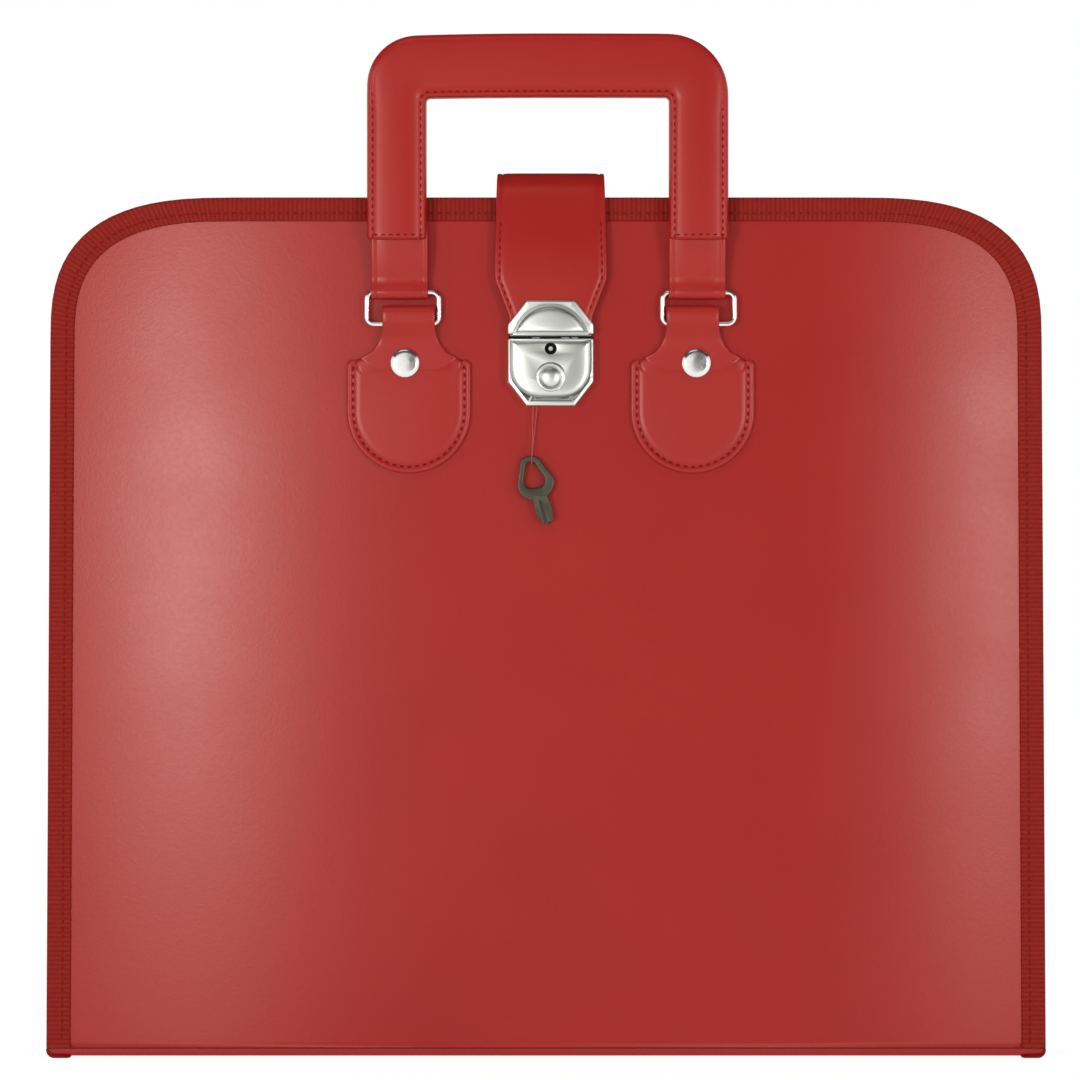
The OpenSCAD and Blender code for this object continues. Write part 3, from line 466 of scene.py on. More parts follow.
def loft(bm, rings, round_section=False, round_path=False, capped=False):
    """Bridges rings of points, and gives the faces a map in millimetres along and round them."""
    layer = bm.loops.layers.uv.verify()
    made, edges = [], []
    for ring in rings:
        verts = [bm.verts.new(p) for p in ring]
        made.append(verts)
        pairs = list(zip(verts, verts[1:])) + ([(verts[-1], verts[0])] if round_section else [])
        edges.append([bm.edges.new(pair) for pair in pairs])
    spot, ahead = {}, 0.0
    for i, ring in enumerate(rings):
        if i:
            ahead += sum((Vector(a) - Vector(b)).length for a, b in zip(ring, rings[i - 1])) / len(ring)
        across = 0.0
        for j, point in enumerate(ring):
            if j:
                across += (Vector(point) - Vector(ring[j - 1])).length
            spot[made[i][j]] = (ahead, across)
    around = max(v for _, v in spot.values())
    faces = []
    steps = list(zip(edges, edges[1:])) + ([(edges[-1], edges[0])] if round_path else [])
    for first, second in steps:
        faces += bmesh.ops.bridge_loops(bm, edges=first + second)["faces"]
    for face in faces:
        us = [spot[loop.vert][0] for loop in face.loops]
        vs = [spot[loop.vert][1] for loop in face.loops]
        for loop, u, v in zip(face.loops, us, vs):
            if round_path and max(us) - min(us) > ahead / 2 and u < ahead / 2:
                u += ahead
            if round_section and max(vs) - min(vs) > around / 2 and v < around / 2:
                v += around
            loop[layer].uv = (u * MM, v * MM)
    if capped:
        bmesh.ops.holes_fill(bm, edges=edges[0] + edges[-1])
    bmesh.ops.recalc_face_normals(bm, faces=bm.faces)
    return made


def crowned(bm, outline, depth, lift):
    """A thin panel skin whose middle stands out a little from its drawn edges."""
    middle = Vector((0, 0, body_top * 0.47))
    rings = []
    under = [(0.9, -depth), (1, -depth), (1, -0.25), (0.9985, 0)]
    crown = [(0.985, 0.25), (0.96, 0.5), (0.9, 0.75), (0.8, 0.92), (0.68, 1)]
    for share, s in under + [(share, lift * rise) for share, rise in crown]:
        rings.append([middle + (out(x, s, z) - middle) * share for x, z in outline])
        for point in rings[-1]:
            point.y = front_y - s
    loft(bm, rings, round_section=True, capped=True)


def panel_layer(name, node, inward, foot, depth, lift, faces_front, material, body, slot):
    """One layer of a panel, on the face of its node that looks to the front or to the back."""
    low, high = span(node)
    bm = bmesh.new()
    crowned(bm, whole_outline(inward, foot), depth, lift)
    if faces_front:
        bmesh.ops.translate(bm, verts=bm.verts, vec=(0, low.y - front_y, 0))
    else:
        bmesh.ops.rotate(bm, verts=bm.verts, cent=(0, (front_y + high.y) / 2, 0),
                         matrix=Matrix.Rotation(math.pi, 3, "Z"))
    made = place(bm, name, material, body, slot)
    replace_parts(made, node)
    return made


panel_layer("front_leatherette", "front_cover", binding_t, front_foot, skin_t, skin_crown, True,
            panel_skin, "front", "leatherette")
panel_layer("back_leatherette", "back_cover", binding_t, back_foot, skin_t, skin_crown, False,
            panel_skin, "case", "leatherette")

# The bottom's skin folds up a little at the front and the back, with a soft bend at both folds.
floor_low, floor_high = span("bottom_cover")
bm = bmesh.new()
bend = 1.6


def floor_line(drawn):
    """The bottom's section from the front to the back, drawn in by a distance."""
    bend_z, r = floor_low.z + bend, bend - drawn
    return ([(front_y + drawn, floor_high.z)] + arc(front_y + bend, bend_z, r, 180, 270, 6)
            + arc(back_y - bend, bend_z, r, 270, 360, 6) + [(back_y - drawn, floor_high.z)])


section = floor_line(0) + floor_line(skin_t)[::-1]
rings = [[Vector((floor_low.x + (floor_high.x - floor_low.x) * i / 24, y, z)) for y, z in section]
         for i in range(25)]
loft(bm, rings, round_section=True, capped=True)
skin_floor = place(bm, "bottom_leatherette", fold_skin, "case", "leatherette", 50)
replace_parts(skin_floor, "bottom_cover")

# Lining: a plain weave of dark red cotton, its threads 0.6 mm apart, drawn at 1.2 mm to show.
lining, tree, shader = finish_of("plain_weave_cotton_lining", Roughness=0.85)
where = add(tree, "ShaderNodeTexCoord")
warp = add(tree, "ShaderNodeTexWave", {"Vector": where.outputs["Object"], "Scale": 260.0, "Distortion": 0.6},
           bands_direction="X")
weft = add(tree, "ShaderNodeTexWave", {"Vector": where.outputs["Object"], "Scale": 260.0, "Distortion": 0.6},
           bands_direction="Z")
weave = add(tree, "ShaderNodeMath", {0: warp.outputs["Fac"], 1: weft.outputs["Fac"]},
            operation="MULTIPLY")
tone = add(tree, "ShaderNodeMix", {"Factor": weave.outputs[0], 6: linear("#551B1B"), 7: linear("#7A2A28")},
           data_type="RGBA")
tree.links.new(tone.outputs[2], shader.inputs["Base Color"])
bump = add(tree, "ShaderNodeBump", {"Height": weave.outputs[0], "Strength": 0.5, "Distance": 0.0001})
tree.links.new(bump.outputs[0], shader.inputs["Normal"])

lining_in, lining_t, ripple = 1.2, 0.6, 0.1
panel_layer("front_lining_cloth", "front_lining", lining_in, front_foot, lining_t, ripple, False,
            lining, "front", "lining")
panel_layer("back_lining_cloth", "back_lining", lining_in, back_foot, lining_t, ripple, True,
            lining, "case", "lining")

low, high = span("bottom_lining")
bm = bmesh.new()
bmesh.ops.create_grid(bm, x_segments=60, y_segments=8, size=0.5)
bmesh.ops.scale(bm, verts=bm.verts, vec=(high.x - low.x, high.y - low.y, 1))
bmesh.ops.translate(bm, verts=bm.verts, vec=(*((low + high) / 2).xy, high.z - ripple))
for vert in bm.verts:
    vert.co.z += ripple * math.sin(vert.co.x / 9) * math.cos(vert.co.y / 6)
bmesh.ops.solidify(bm, geom=bm.faces[:], thickness=0.5)
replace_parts(place(bm, "bottom_lining_cloth", lining, "case", "lining"), "bottom_lining")

# Boards: grey book board, cut with a knife, its fibres just to be seen.
board, tree, shader = finish_of("grey_book_board", Roughness=0.9)
where = add(tree, "ShaderNodeTexCoord")
fibre = add(tree, "ShaderNodeTexNoise",
            {"Vector": where.outputs["Object"], "Scale": 900.0, "Detail": 5.0})
tone = add(tree, "ShaderNodeMix",
           {"Factor": fibre.outputs["Fac"], 6: linear("#7C756B"), 7: linear("#9A938A")}, data_type="RGBA")
tree.links.new(tone.outputs[2], shader.inputs["Base Color"])
bump = add(tree, "ShaderNodeBump", {"Height": fibre.outputs["Fac"], "Strength": 0.4, "Distance": 0.00006})
tree.links.new(bump.outputs[0], shader.inputs["Normal"])


def dress(material, *nodes):
    """Gives nodes of the frame, whose shapes are right, their real finish."""
    for name in nodes:
        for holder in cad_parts[name].material_slots:
            holder.material = material


dress(board, "front_board", "back_board", "bottom_board")

# Gussets.
# One strip of the same leatherette a side, folded inward between the panels and caught in their
# bindings, so that the case can open like a bellows.
gusset_t = 0.48
lip, caught, caught_in = 4, 5.4, 0.9
for side, name in ((1, "gusset_right"), (-1, "gusset_left")):
    low, high = span(name)
    mouth = max(abs(low.x), abs(high.x))
    deep = min(abs(low.x), abs(high.x))
    middle = (low.y + high.y) / 2
    bm = bmesh.new()
    rings = []
    for i in range(41):
        share = i / 40
        z = low.z + (high.z - low.z) * share
        # The fold hangs a little slack and lies less deep near its upper end.
        inward = deep + 0.6 + 2.2 * share ** 3 + 0.5 * math.sin(share * 19)
        sway = 0.5 * math.sin(share * 11)
        line = [(mouth, low.y), (mouth - lip, low.y + 0.1), (mouth - caught, low.y + caught_in)]
        for k in range(1, 6):
            bulge = sway * k / 6 - 0.8 * math.sin(math.pi * k / 6)
            line.append((mouth - caught + (inward - mouth + caught) * k / 6,
                         low.y + caught_in + (middle - low.y - caught_in) * k / 6 + bulge))
        line += [(inward, middle + sway)]
        line += [(x, 2 * middle + 2 * sway * (inward / max(x, 1)) - y) for x, y in line[-2:2:-1]]
        line += [(mouth - caught, high.y - caught_in), (mouth - lip, high.y - 0.1), (mouth, high.y)]
        rings.append([Vector((side * x, min(max(y, low.y), high.y), z)) for x, y in line])
    loft(bm, rings)
    bmesh.ops.solidify(bm, geom=bm.faces[:], thickness=gusset_t)
    bmesh.ops.recalc_face_normals(bm, faces=bm.faces)
    strip = place(bm, name + "_leatherette", fold_skin, None, "leatherette", 60)
    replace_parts(strip, name)
    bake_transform(strip)

# Bindings.
# Grosgrain tape of dark brick-red polyester, folded round the panels' edges and sewn through with
# one row of lockstitch. Its ribs run across the tape, 2 mm apart, and the seam presses them in.
rib_pitch = 2.0
stitch_in = 6.9
# A row of stitches is given by its pitch, and each stitch by its length, width and height.
tape_stitches = (3.3, 2.3, 0.75, 0.55)

tape, tree, shader = finish_of("grosgrain_polyester_tape", Roughness=0.72, Specular_IOR_Level=0.2)
where = add(tree, "ShaderNodeTexCoord")
wobble = add(tree, "ShaderNodeTexNoise", {"Vector": where.outputs["UV"], "Scale": 220.0, "Detail": 2.0})
ribs = add(tree, "ShaderNodeTexWave",
           {"Vector": where.outputs["UV"], "Scale": math.pi / 10 / (rib_pitch * MM), "Distortion": 1.1,
            "Detail": 1.0, "Detail Scale": 3.0},
           wave_type="BANDS", bands_direction="X")
threads = add(tree, "ShaderNodeTexWave",
              {"Vector": where.outputs["UV"], "Scale": math.pi / 10 / 0.0007, "Distortion": 2.0},
              wave_type="BANDS", bands_direction="Y")
relief = add(tree, "ShaderNodeMix", {"Factor": 0.22, 2: ribs.outputs["Fac"], 3: threads.outputs["Fac"]})
shade = add(tree, "ShaderNodeMix", {"Factor": 0.35, 2: relief.outputs[0], 3: wobble.outputs["Fac"]})
tone = add(tree, "ShaderNodeMix", {"Factor": shade.outputs[0], 6: linear("#80100A"), 7: linear("#A82A1C")},
           data_type="RGBA")
tree.links.new(tone.outputs[2], shader.inputs["Base Color"])
bump = add(tree, "ShaderNodeBump", {"Height": relief.outputs[0], "Strength": 0.8, "Distance": 0.0003})
tree.links.new(bump.outputs[0], shader.inputs["Normal"])

# Sewing thread: bonded polyester, a shade darker than what it sews, with a soft shine.
thread_of_seams, tree, shader = finish_of("bonded_polyester_sewing_thread", Roughness=0.6,
                                          Specular_IOR_Level=0.2)
where = add(tree, "ShaderNodeTexCoord")
twist = add(tree, "ShaderNodeTexWave", {"Vector": where.outputs["Object"], "Scale": 700.0, "Distortion": 1.0},
            bands_direction="DIAGONAL")
tone = add(tree, "ShaderNodeMix",
           {"Factor": twist.outputs["Fac"], 6: linear("#780A08"), 7: linear("#94120E")}, data_type="RGBA")
tree.links.new(tone.outputs[2], shader.inputs["Base Color"])
bump = add(tree, "ShaderNodeBump", {"Height": twist.outputs["Fac"], "Strength": 0.5, "Distance": 0.0001})
tree.links.new(bump.outputs[0], shader.inputs["Normal"])


def stitch_row(bm, points, pitch, long, wide, high):
    """A row of small stitches along points, each a slim bead that lies on the surface."""
    walked, target = 0.0, pitch / 2
    for a, b in zip(points, points[1:]):
        a, b = Vector(a), Vector(b)
        run = (b - a).length
        while target < walked + run:
            at = a.lerp(b, (target - walked) / run)
            along = (b - a).normalized()
            across = along.cross(Vector((0, 1, 0))).normalized()
            turn = Matrix((along, across, along.cross(across))).transposed().to_4x4()
            size = Matrix.Diagonal((long / 2, wide / 2, high / 2, 1))
            bmesh.ops.create_uvsphere(bm, u_segments=6, v_segments=5, radius=1,
                                      matrix=Matrix.Translation(at) @ turn @ size)
            target += pitch
        walked += run


def tape_section(face_in, back_in):
    """The folded tape's section: inward from the edge, and outward from the skin."""
    dent = face_in - (binding_w - stitch_in)
    return ([(face_in, 0.02), (face_in - 0.1, 0.62), (face_in - 0.7, 0.9), (dent + 1.3, 0.95), (dent, 0.66),
             (dent - 1.3, 0.97), (3.2, 1.0), (1.6, 0.86)]
            + arc(1.5, -0.7, 1.5, 90, 180, 5)[1:] + [(0, -2.5)]
            + arc(1.5, 0.5 - panel_t, 1.5, 180, 270, 5)[:-1]
            + [(1.6, -panel_t - 0.88), (back_in - 0.6, -panel_t - 0.9), (back_in, -panel_t - 0.5),
               (back_in, -panel_t - 0.02), (1.0, -panel_t - 0.02), (1.0, 0.0), (face_in - 1, 0.0)])


def bind(name, node, foot, faces_front, body):
    """Tape round a panel's edge, from foot to foot over the top, with its row of stitches."""
    section = tape_section(binding_w, binding_w - 2.4)
    shapes = [whole_outline(d, foot, 5) for d, _ in section]
    rings = [[out(shape[i][0], s, shape[i][1]) for shape, (_, s) in zip(shapes, section)]
             for i in range(len(shapes[0]))]
    bm = bmesh.new()
    loft(bm, rings, round_section=True, capped=True)
    sewn = bmesh.new()
    seam = [out(x, 0.78, z) for x, z in whole_outline(stitch_in, foot + 2, 5)]
    stitch_row(sewn, seam, *tape_stitches)
    if not faces_front:
        for part in (bm, sewn):
            bmesh.ops.rotate(part, verts=part.verts, cent=(0, (front_y + back_y) / 2, 0),
                             matrix=Matrix.Rotation(math.pi, 3, "Z"))
    made = place(bm, name, tape, body, "tape", 60)
    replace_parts(made, node)
    place(sewn, name + "_stitches", thread_of_seams, body, "tape", 80)


bind("front_tape", "front_binding", front_foot, True, "front")
bind("back_tape", "back_binding", back_foot, False, "case")

# The tape's ends turn under the case's two lower edges as one short stretch a side.
for side, name in ((1, "bottom_binding_right"), (-1, "bottom_binding_left")):
    low, high = span(name)
    edge = max(abs(low.x), abs(high.x))
    ear = 3.5
    rounding = [(0, 0.5), (0.25, 0.12), (0.9, 0), (6, 0)]
    bm = bmesh.new()
    rings = []
    for y, drawn in ([(low.y + ahead, drawn) for ahead, drawn in rounding] + [(0, 0)]
                     + [(high.y - ahead, drawn) for ahead, drawn in rounding[::-1]]):
        ring = [(edge - binding_w + drawn, 0.3 + drawn), (edge - 9.5, drawn)]
        ring += arc(edge - ear, ear, ear - drawn, -90, 0, 8)
        ring += [(edge - drawn, back_foot - 0.02), (edge - 0.9, back_foot - 0.02), (edge - 0.95, 3.4)]
        ring += arc(edge - ear, ear, ear - 1.4, -8, -90, 6)
        ring += [(edge - 10.3 + drawn, 1.0)]
        rings.append([Vector((side * x, y, z)) for x, z in ring])
    loft(bm, rings, round_section=True, capped=True)
    made = place(bm, name + "_tape", tape, "case", "tape", 60)
    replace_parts(made, name)

# Tabs.
# Two plies of leatherette over a thin filler, cut to a shield, sewn 2.8 mm inside the edge with a
# raised rim and a soft pillow between, and looped round the ring's lower bar.
shield_w, shoulder_r, seam_in = 53.6, 2.5, 2.8
neck_half, flare_top, flare_h = 11.3, 64, 15
tab_stitches = (3.3, 2.1, 0.95, 0.6)
ring_s, wire_d = 3.6, 2.4

# Painted sheen: the tabs' skin is the panels' leatherette drawn pinker, standing in for the highlights on the
# tabs' tilted faces. The handle's strap ends share it.
sheen_tinted_tab_skin = leatherette_of("calf_grain_leatherette_of_tabs_with_painted_sheen", "#AE201D", "#B62824", 0.34)


def flare_width(z, low_z):
    """Half a tab's width at a height in its neck, where it flares out to the shield."""
    share = max(0.0, min(1.0, (low_z + flare_top - z) / flare_h))
    return neck_half + (shield_w / 2 - shoulder_r - neck_half) * (1 - math.sqrt(1 - share ** 2))


def shield(inward, low_z):
    """A tab's shield about its middle, drawn in by a distance, from its neck round and back."""
    half = shield_w / 2 - inward
    r = max(shoulder_r - inward * 0.5, 0.8)
    shoulder = low_z + 49 - inward
    right = []
    for k in range(9):
        z = low_z + 59.2 - (10.2 + inward * 0.4) * math.sin(math.radians(90 * k / 8))
        width = min(flare_width(z, low_z), shield_w / 2 - shoulder_r)
        right.append((width - inward * (0.45 + 0.55 * (k < 1)), z))
    right[-1] = (half - r - 0.3, shoulder)
    right += arc(half - r, shoulder - r, r, 75, 0, 4)
    middle = low_z + shield_w / 2
    right += [(half, middle + (shoulder - r - middle) * k / 3) for k in (2, 1)]
    right += arc(0, middle, half, 0, -90, 16)
    return right + [(-x, z) for x, z in reversed(right[:-1])]


def ribbon(bm, path, middle_x, half_of, across, thick):
    """A strip of leatherette over a path of its outer face (outward, up), with a shaped face."""
    rings = []
    for k, (s, z) in enumerate(path):
        a, b = path[max(k - 1, 0)], path[min(k + 1, len(path) - 1)]
        along = Vector((b[0] - a[0], b[1] - a[1])).normalized()
        away = Vector((0, -along.y, -along.x))
        half = half_of(s, z)
        face = [(e - half, rise) for e, rise in across] + [(0, across[-1][1])]
        face += [(half - e, rise) for e, rise in across[::-1]]
        back = [(half, -thick * 0.65), (half - 0.5, 0.2 - thick), (half - 1.6, -thick), (0, -thick),
                (1.6 - half, -thick), (0.5 - half, 0.2 - thick), (-half, -thick * 0.65)]
        rings.append([out(middle_x + dx, s, z) + away * rise for dx, rise in face + back])
    loft(bm, rings, round_section=True, capped=True)
    return rings


# The loop's face across its edge, which is rolled over and rises a little further in.
plain_edge = [(0, -0.6), (0.15, -0.2), (0.6, 0), (2, 0.04), (6, 0.08)]
for side, name in ((-1, "tab_left"), (1, "tab_right")):
    low, high = span(name)
    x0 = (low.x + high.x) / 2
    ring_z = span("ring_left")[0].z + wire_d / 2
    bm = bmesh.new()
    rings = []
    for inward, s in ((0, 0.02), (0, 1.4), (0.22, 2.1), (0.7, 2.5), (1.4, 2.55), (2.1, 2.3),
                      (seam_in - 0.3, 1.8), (seam_in + 0.3, 1.8), (seam_in + 0.8, 2.3),
                      (seam_in + 1.6, 2.6), (seam_in + 3.5, 2.8)):
        rings.append([out(x0 + x, s, z) for x, z in shield(inward, low.z)])
    loft(bm, rings, round_section=True, capped=True)
    # The loop: the neck leaves the shield, rounds the ring's lower bar and goes back down.
    neck = [(2.7, 44), (2.78, 47), (2.85, 49.5), (2.95, 52), (3.1, 55), (3.4, 57.6), (4.2, 60.2),
            (5.5, 62.2), (6.4, 64)]
    loop_path = [(s, low.z + rise) for s, rise in neck] + [(6.8, ring_z + 0.5)]
    loop_path += arc(ring_s, ring_z + 4.7, 3.15, 0, 180, 12)
    loop_path += [(0.5, ring_z), (0.4, ring_z - 3)]

    def width(s, z):
        if s < 1:
            return neck_half - 0.1
        widest = 18 if z < low.z + 48 else shield_w
        return min(flare_width(z, low.z), widest)

    ribbon(bm, loop_path, x0, width, plain_edge, 1.5)
    made = place(bm, name + "_leatherette", sheen_tinted_tab_skin, "front", "leatherette", 75)
    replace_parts(made, name)
    seam = [out(x0 + x, 2.0, z) for x, z in shield(seam_in, low.z) if z < low.z + 47.2]
    sewn = bmesh.new()
    stitch_row(sewn, seam, *tab_stitches)
    place(sewn, name + "_stitches", thread_of_seams, "front", "leatherette", 80)

# Rivets and rings.
# Domed tubular rivets and welded wire rings of steel, bright nickel plated: nearly mirror bright,
# with the faint haze and hairlines of barrel polishing.
nickel, tree, shader = finish_of("bright_nickel_plate", Metallic=1.0, Roughness=0.16)
where = add(tree, "ShaderNodeTexCoord")
haze = add(tree, "ShaderNodeTexNoise", {"Vector": where.outputs["Object"], "Scale": 260.0, "Detail": 4.0})
tone = add(tree, "ShaderNodeMix",
           {"Factor": haze.outputs["Fac"], 6: linear("#EAE8E2"), 7: linear("#F6F5F1")}, data_type="RGBA")
tree.links.new(tone.outputs[2], shader.inputs["Base Color"])
dull = add(tree, "ShaderNodeMapRange", {"Value": haze.outputs["Fac"], "From Min": 0.3, "From Max": 0.7,
                                        "To Min": 0.1, "To Max": 0.24})
tree.links.new(dull.outputs["Result"], shader.inputs["Roughness"])
lines = add(tree, "ShaderNodeTexNoise", {"Vector": where.outputs["Object"], "Scale": 1500.0, "Detail": 2.0})
bump = add(tree, "ShaderNodeBump", {"Height": lines.outputs["Fac"], "Strength": 0.2, "Distance": 0.00001})
tree.links.new(bump.outputs[0], shader.inputs["Normal"])


def turned(bm, profile, at, steps=40):
    """A solid of revolution about the front's depth: radius and outward distance, from its axis."""
    verts = [bm.verts.new((r, -s, 0)) for r, s in profile]
    edges = [bm.edges.new(pair) for pair in zip(verts, verts[1:])]
    made = bmesh.ops.spin(bm, geom=verts + edges, axis=(0, 1, 0), cent=(0, 0, 0), steps=steps,
                          angle=math.tau, use_merge=True)
    fresh = set(verts) | {g for g in made["geom_last"] if isinstance(g, bmesh.types.BMVert)}
    linked = set()
    todo = list(fresh)
    while todo:
        vert = todo.pop()
        if vert.is_valid and vert not in linked:
            linked.add(vert)
            todo += [edge.other_vert(vert) for edge in vert.link_edges]
    bmesh.ops.translate(bm, verts=list(linked), vec=at)
    bmesh.ops.remove_doubles(bm, verts=[v for v in bm.verts if v.is_valid], dist=0.0005)
    bmesh.ops.recalc_face_normals(bm, faces=bm.faces)


rivets_low, rivets_high = span("tab_rivets")
rivet_r = 6.5
rivet_z = (rivets_low.z + rivets_high.z) / 2
bm = bmesh.new()
for x in (rivets_low.x + rivet_r, rivets_high.x - rivet_r):
    dome = [(0, 5.2), (1.5, 5.19), (3, 5.14), (4.2, 5.03)]
    for a in range(12, 91, 13):
        turn = math.radians(a)
        dome.append((4.2 + 2.3 * math.sin(turn), 3.3 + 1.73 * math.cos(turn)))
    shank = [(rivet_r, 2.95), (6.1, 2.75), (2, 2.7), (2, -5.1), (3, -5.15), (3, -5.5), (0, -5.6)]
    turned(bm, dome + shank, out(x, 0, rivet_z))
caps = place(bm, "rivet_domes", nickel, "front", "nickel", 50)
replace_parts(caps, "tab_rivets")

for side in ("left", "right"):
    low, high = span("ring_" + side)
    centre = (low + high) / 2
    half_x, half_z = (high.x - low.x - wire_d) / 2, (high.z - low.z - wire_d) / 2
    bend = 3.2
    corners = [(half_x - bend, half_z - bend, 0), (bend - half_x, half_z - bend, 90),
               (bend - half_x, bend - half_z, 180), (half_x - bend, bend - half_z, 270)]
    path = [p for x, z, a in corners for p in arc(x, z, bend, a, a + 90, 8)]
    rings = []
    for k, (x, z) in enumerate(path):
        a, b = path[k - 1], path[(k + 1) % len(path)]
        ahead = Vector((b[0] - a[0], 0, b[1] - a[1])).normalized()
        aside = ahead.cross(Vector((0, 1, 0)))
        rings.append([Vector((centre.x + x, centre.y, centre.z + z)) + aside * px + Vector((0, py, 0))
                      for px, py in arc(0, 0, wire_d / 2, 0, 345, 15)])
    bm = bmesh.new()
    loft(bm, rings, round_section=True, round_path=True)
    made = place(bm, "wire_ring_" + side, nickel, "ring_" + side, "nickel", 70)
    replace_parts(made, "ring_" + side)

# Handle.
# A D of leatherette folded over a foam-padded steel core, sewn 2.5 mm in along its legs and all
# along its hole, with a sewn strap end at each leg that loops round its ring. Its corners sag.
cover_low, cover_high = span("handle_cover")
handle_x = (cover_low.x + cover_high.x) / 2
handle_half = (cover_high.x - cover_low.x) / 2
handle_y = (cover_low.y + cover_high.y) / 2
leg_w, bar_h, hole_r = 25.8, 27.8, 1.6
corner_r, sag = {-1: 21, 1: 26}, {-1: 1.6, 1: 0.3}
outer_seam, inner_seam = 0.1, 0.9
handle_stitches, row_stitches = (3.2, 2.1, 0.9, 0.6), (3.2, 2.1, 0.9, 0.5)

handle_skin = leatherette_of("calf_grain_leatherette_of_handle", "#AC1614", "#B41E1A", 0.34)


def grip_edge(half, top, r, foot):
    """Points on one half of an edge of the handle, from a leg's end up and over to the middle."""
    points = [(half, foot), (half, foot + 1)]
    points += [(half, foot + (top - r - foot) * k / 12) for k in range(1, 12)]
    points += arc(half - r, top - r, r, 0, 90, 10)
    return points + [((half - r) * (1 - k / 10), top) for k in range(1, 11)]


def grip_line(share, side):
    """A line along one half of the handle, between its edges, sagging at its corner."""
    outer = grip_edge(handle_half, cover_high.z, corner_r[side], cover_low.z)
    inner = grip_edge(handle_half - leg_w, cover_high.z - bar_h, hole_r, cover_low.z)
    line = [(o[0] + (i[0] - o[0]) * share, o[1] + (i[1] - o[1]) * share) for o, i in zip(outer, inner)]
    grip_h = cover_high.z - cover_low.z
    return [(side * x, z - sag[side] * (x / handle_half) ** 2 * (z - cover_low.z) / grip_h)
            for x, z in line]


# The section: share of the way from the outer to the inner edge, half the thickness there, and
# the same along the bar, whose outer edge is rolled over the core without a seam.
section = [(0, 0, 0), (0.006, 2.5, 2.7), (0.022, 3.9, 4.1), (0.05, 4.6, 4.9), (0.08, 4.6, 5.25),
           (outer_seam, 4.25, 5.4), (0.12, 4.65, 5.5), (0.17, 5.2, 5.62), (0.27, 5.55, 5.75),
           (0.42, 5.8, 5.8), (0.58, 5.8, 5.8), (0.73, 5.55, 5.6), (0.83, 5.2, 5.25), (0.88, 4.7, 4.6),
           (inner_seam, 4.25, 4.2), (0.92, 4.6, 4.5), (0.95, 4.6, 4.5), (0.978, 3.9, 3.9),
           (0.994, 2.5, 2.5), (1, 0, 0)]
both = [(share, -leg, -bar) for share, leg, bar in section] + section[-2:0:-1]
columns = []
for share, leg, bar in both:
    column = []
    for side in (1, -1):
        line = grip_line(share, side)
        depths = [leg + (bar - leg) * max(0, min(1, (k - 11) / 6)) for k in range(len(line))]
        half = [Vector((handle_x + x, handle_y + depth, z)) for (x, z), depth in zip(line, depths)]
        column += half if side == 1 else half[-2::-1]
    columns.append(column)
rings = [[column[k] for column in columns] for k in range(len(columns[0]))]
bm = bmesh.new()
loft(bm, rings, round_section=True, capped=True)
grip = place(bm, "handle_leatherette", handle_skin, "handle", "leatherette", 60)
smooth = grip.modifiers.new("smooth", "SUBSURF")
smooth.levels = smooth.render_levels = 1
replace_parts(grip, "handle_cover")

sewn = bmesh.new()
for face in (-1, 1):
    right, left = grip_line(inner_seam, 1), grip_line(inner_seam, -1)[-2::-1]
    for line in (right + left, grip_line(outer_seam, 1)[:16], grip_line(outer_seam, -1)[:16]):
        row = [Vector((handle_x + x, handle_y + face * 4.4, z)) for x, z in line]
        stitch_row(sewn, row, *handle_stitches)
for side in (-1, 1):
    for face in (-1, 1):
        x = handle_x + side * (handle_half - leg_w / 2)
        row = [Vector((x + dx, handle_y + face * deep, cover_low.z + 2.2))
               for dx, deep in ((-10.4, 4.7), (-7, 5.35), (0, 5.85), (7, 5.35), (10.4, 4.7))]
        stitch_row(sewn, row, *row_stitches)
place(sewn, "handle_stitches", thread_of_seams, "handle", "leatherette", 80)

for side in ("left", "right"):
    low, high = span("handle_end_" + side)
    middle_x, half = (low.x + high.x) / 2 + 0.3, 12.2
    pivot_z = span("ring_left")[1].z - wire_d / 2
    top_s = front_y - handle_y
    side_line = [(ring_s + 1.9, pivot_z + 5.2), (ring_s + 2.3, pivot_z + 7),
                 (top_s + 1.85, cover_low.z - 1), (top_s + 1.8, cover_low.z + 4)]
    back_line = [(top_s - 1.8, cover_low.z + 4), (top_s - 1.8, cover_low.z - 1), (ring_s - 1.5, pivot_z + 7),
                 (ring_s - 2.1, pivot_z + 4)]
    outline = arc(ring_s, pivot_z, 3.1, 205, 395, 16) + side_line + back_line
    edge = [(half, 0.7), (half - 0.12, 0.3), (half - 0.6, 0), (half - 1.9, 0), (half - 2.4, 0.18),
            (half - 2.9, 0), (4, -0.1)]
    rings = []
    for dx, drawn in [(-x, drawn) for x, drawn in edge] + [(0, -0.12)] + edge[::-1]:
        ring = []
        for k, (s, z) in enumerate(outline):
            a, b = outline[k - 1], outline[(k + 1) % len(outline)]
            t = Vector((b[0] - a[0], b[1] - a[1])).normalized()
            ring.append(out(middle_x + dx, s - t.y * drawn, z + t.x * drawn))
        rings.append(ring)
    bm = bmesh.new()
    loft(bm, rings, round_section=True, capped=True)
    # The strap end wears the tabs' skin, drawn pinker as painted sheen.
    end = place(bm, "handle_strap_end_" + side, sheen_tinted_tab_skin, None, "leatherette", 70)
    eye_r = 1.45
    at = Matrix.Translation(out(middle_x, ring_s, pivot_z)) @ Matrix.Rotation(math.pi / 2, 4, "Y")
    hole = bmesh.new()
    bmesh.ops.create_cone(hole, cap_ends=True, segments=32, radius1=eye_r, radius2=eye_r, depth=60,
                          matrix=at)
    cut(end, place(hole, "ring_eye", sheen_tinted_tab_skin, None, "leatherette"))
    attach(end, "handle")
    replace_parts(end, "handle_end_" + side)

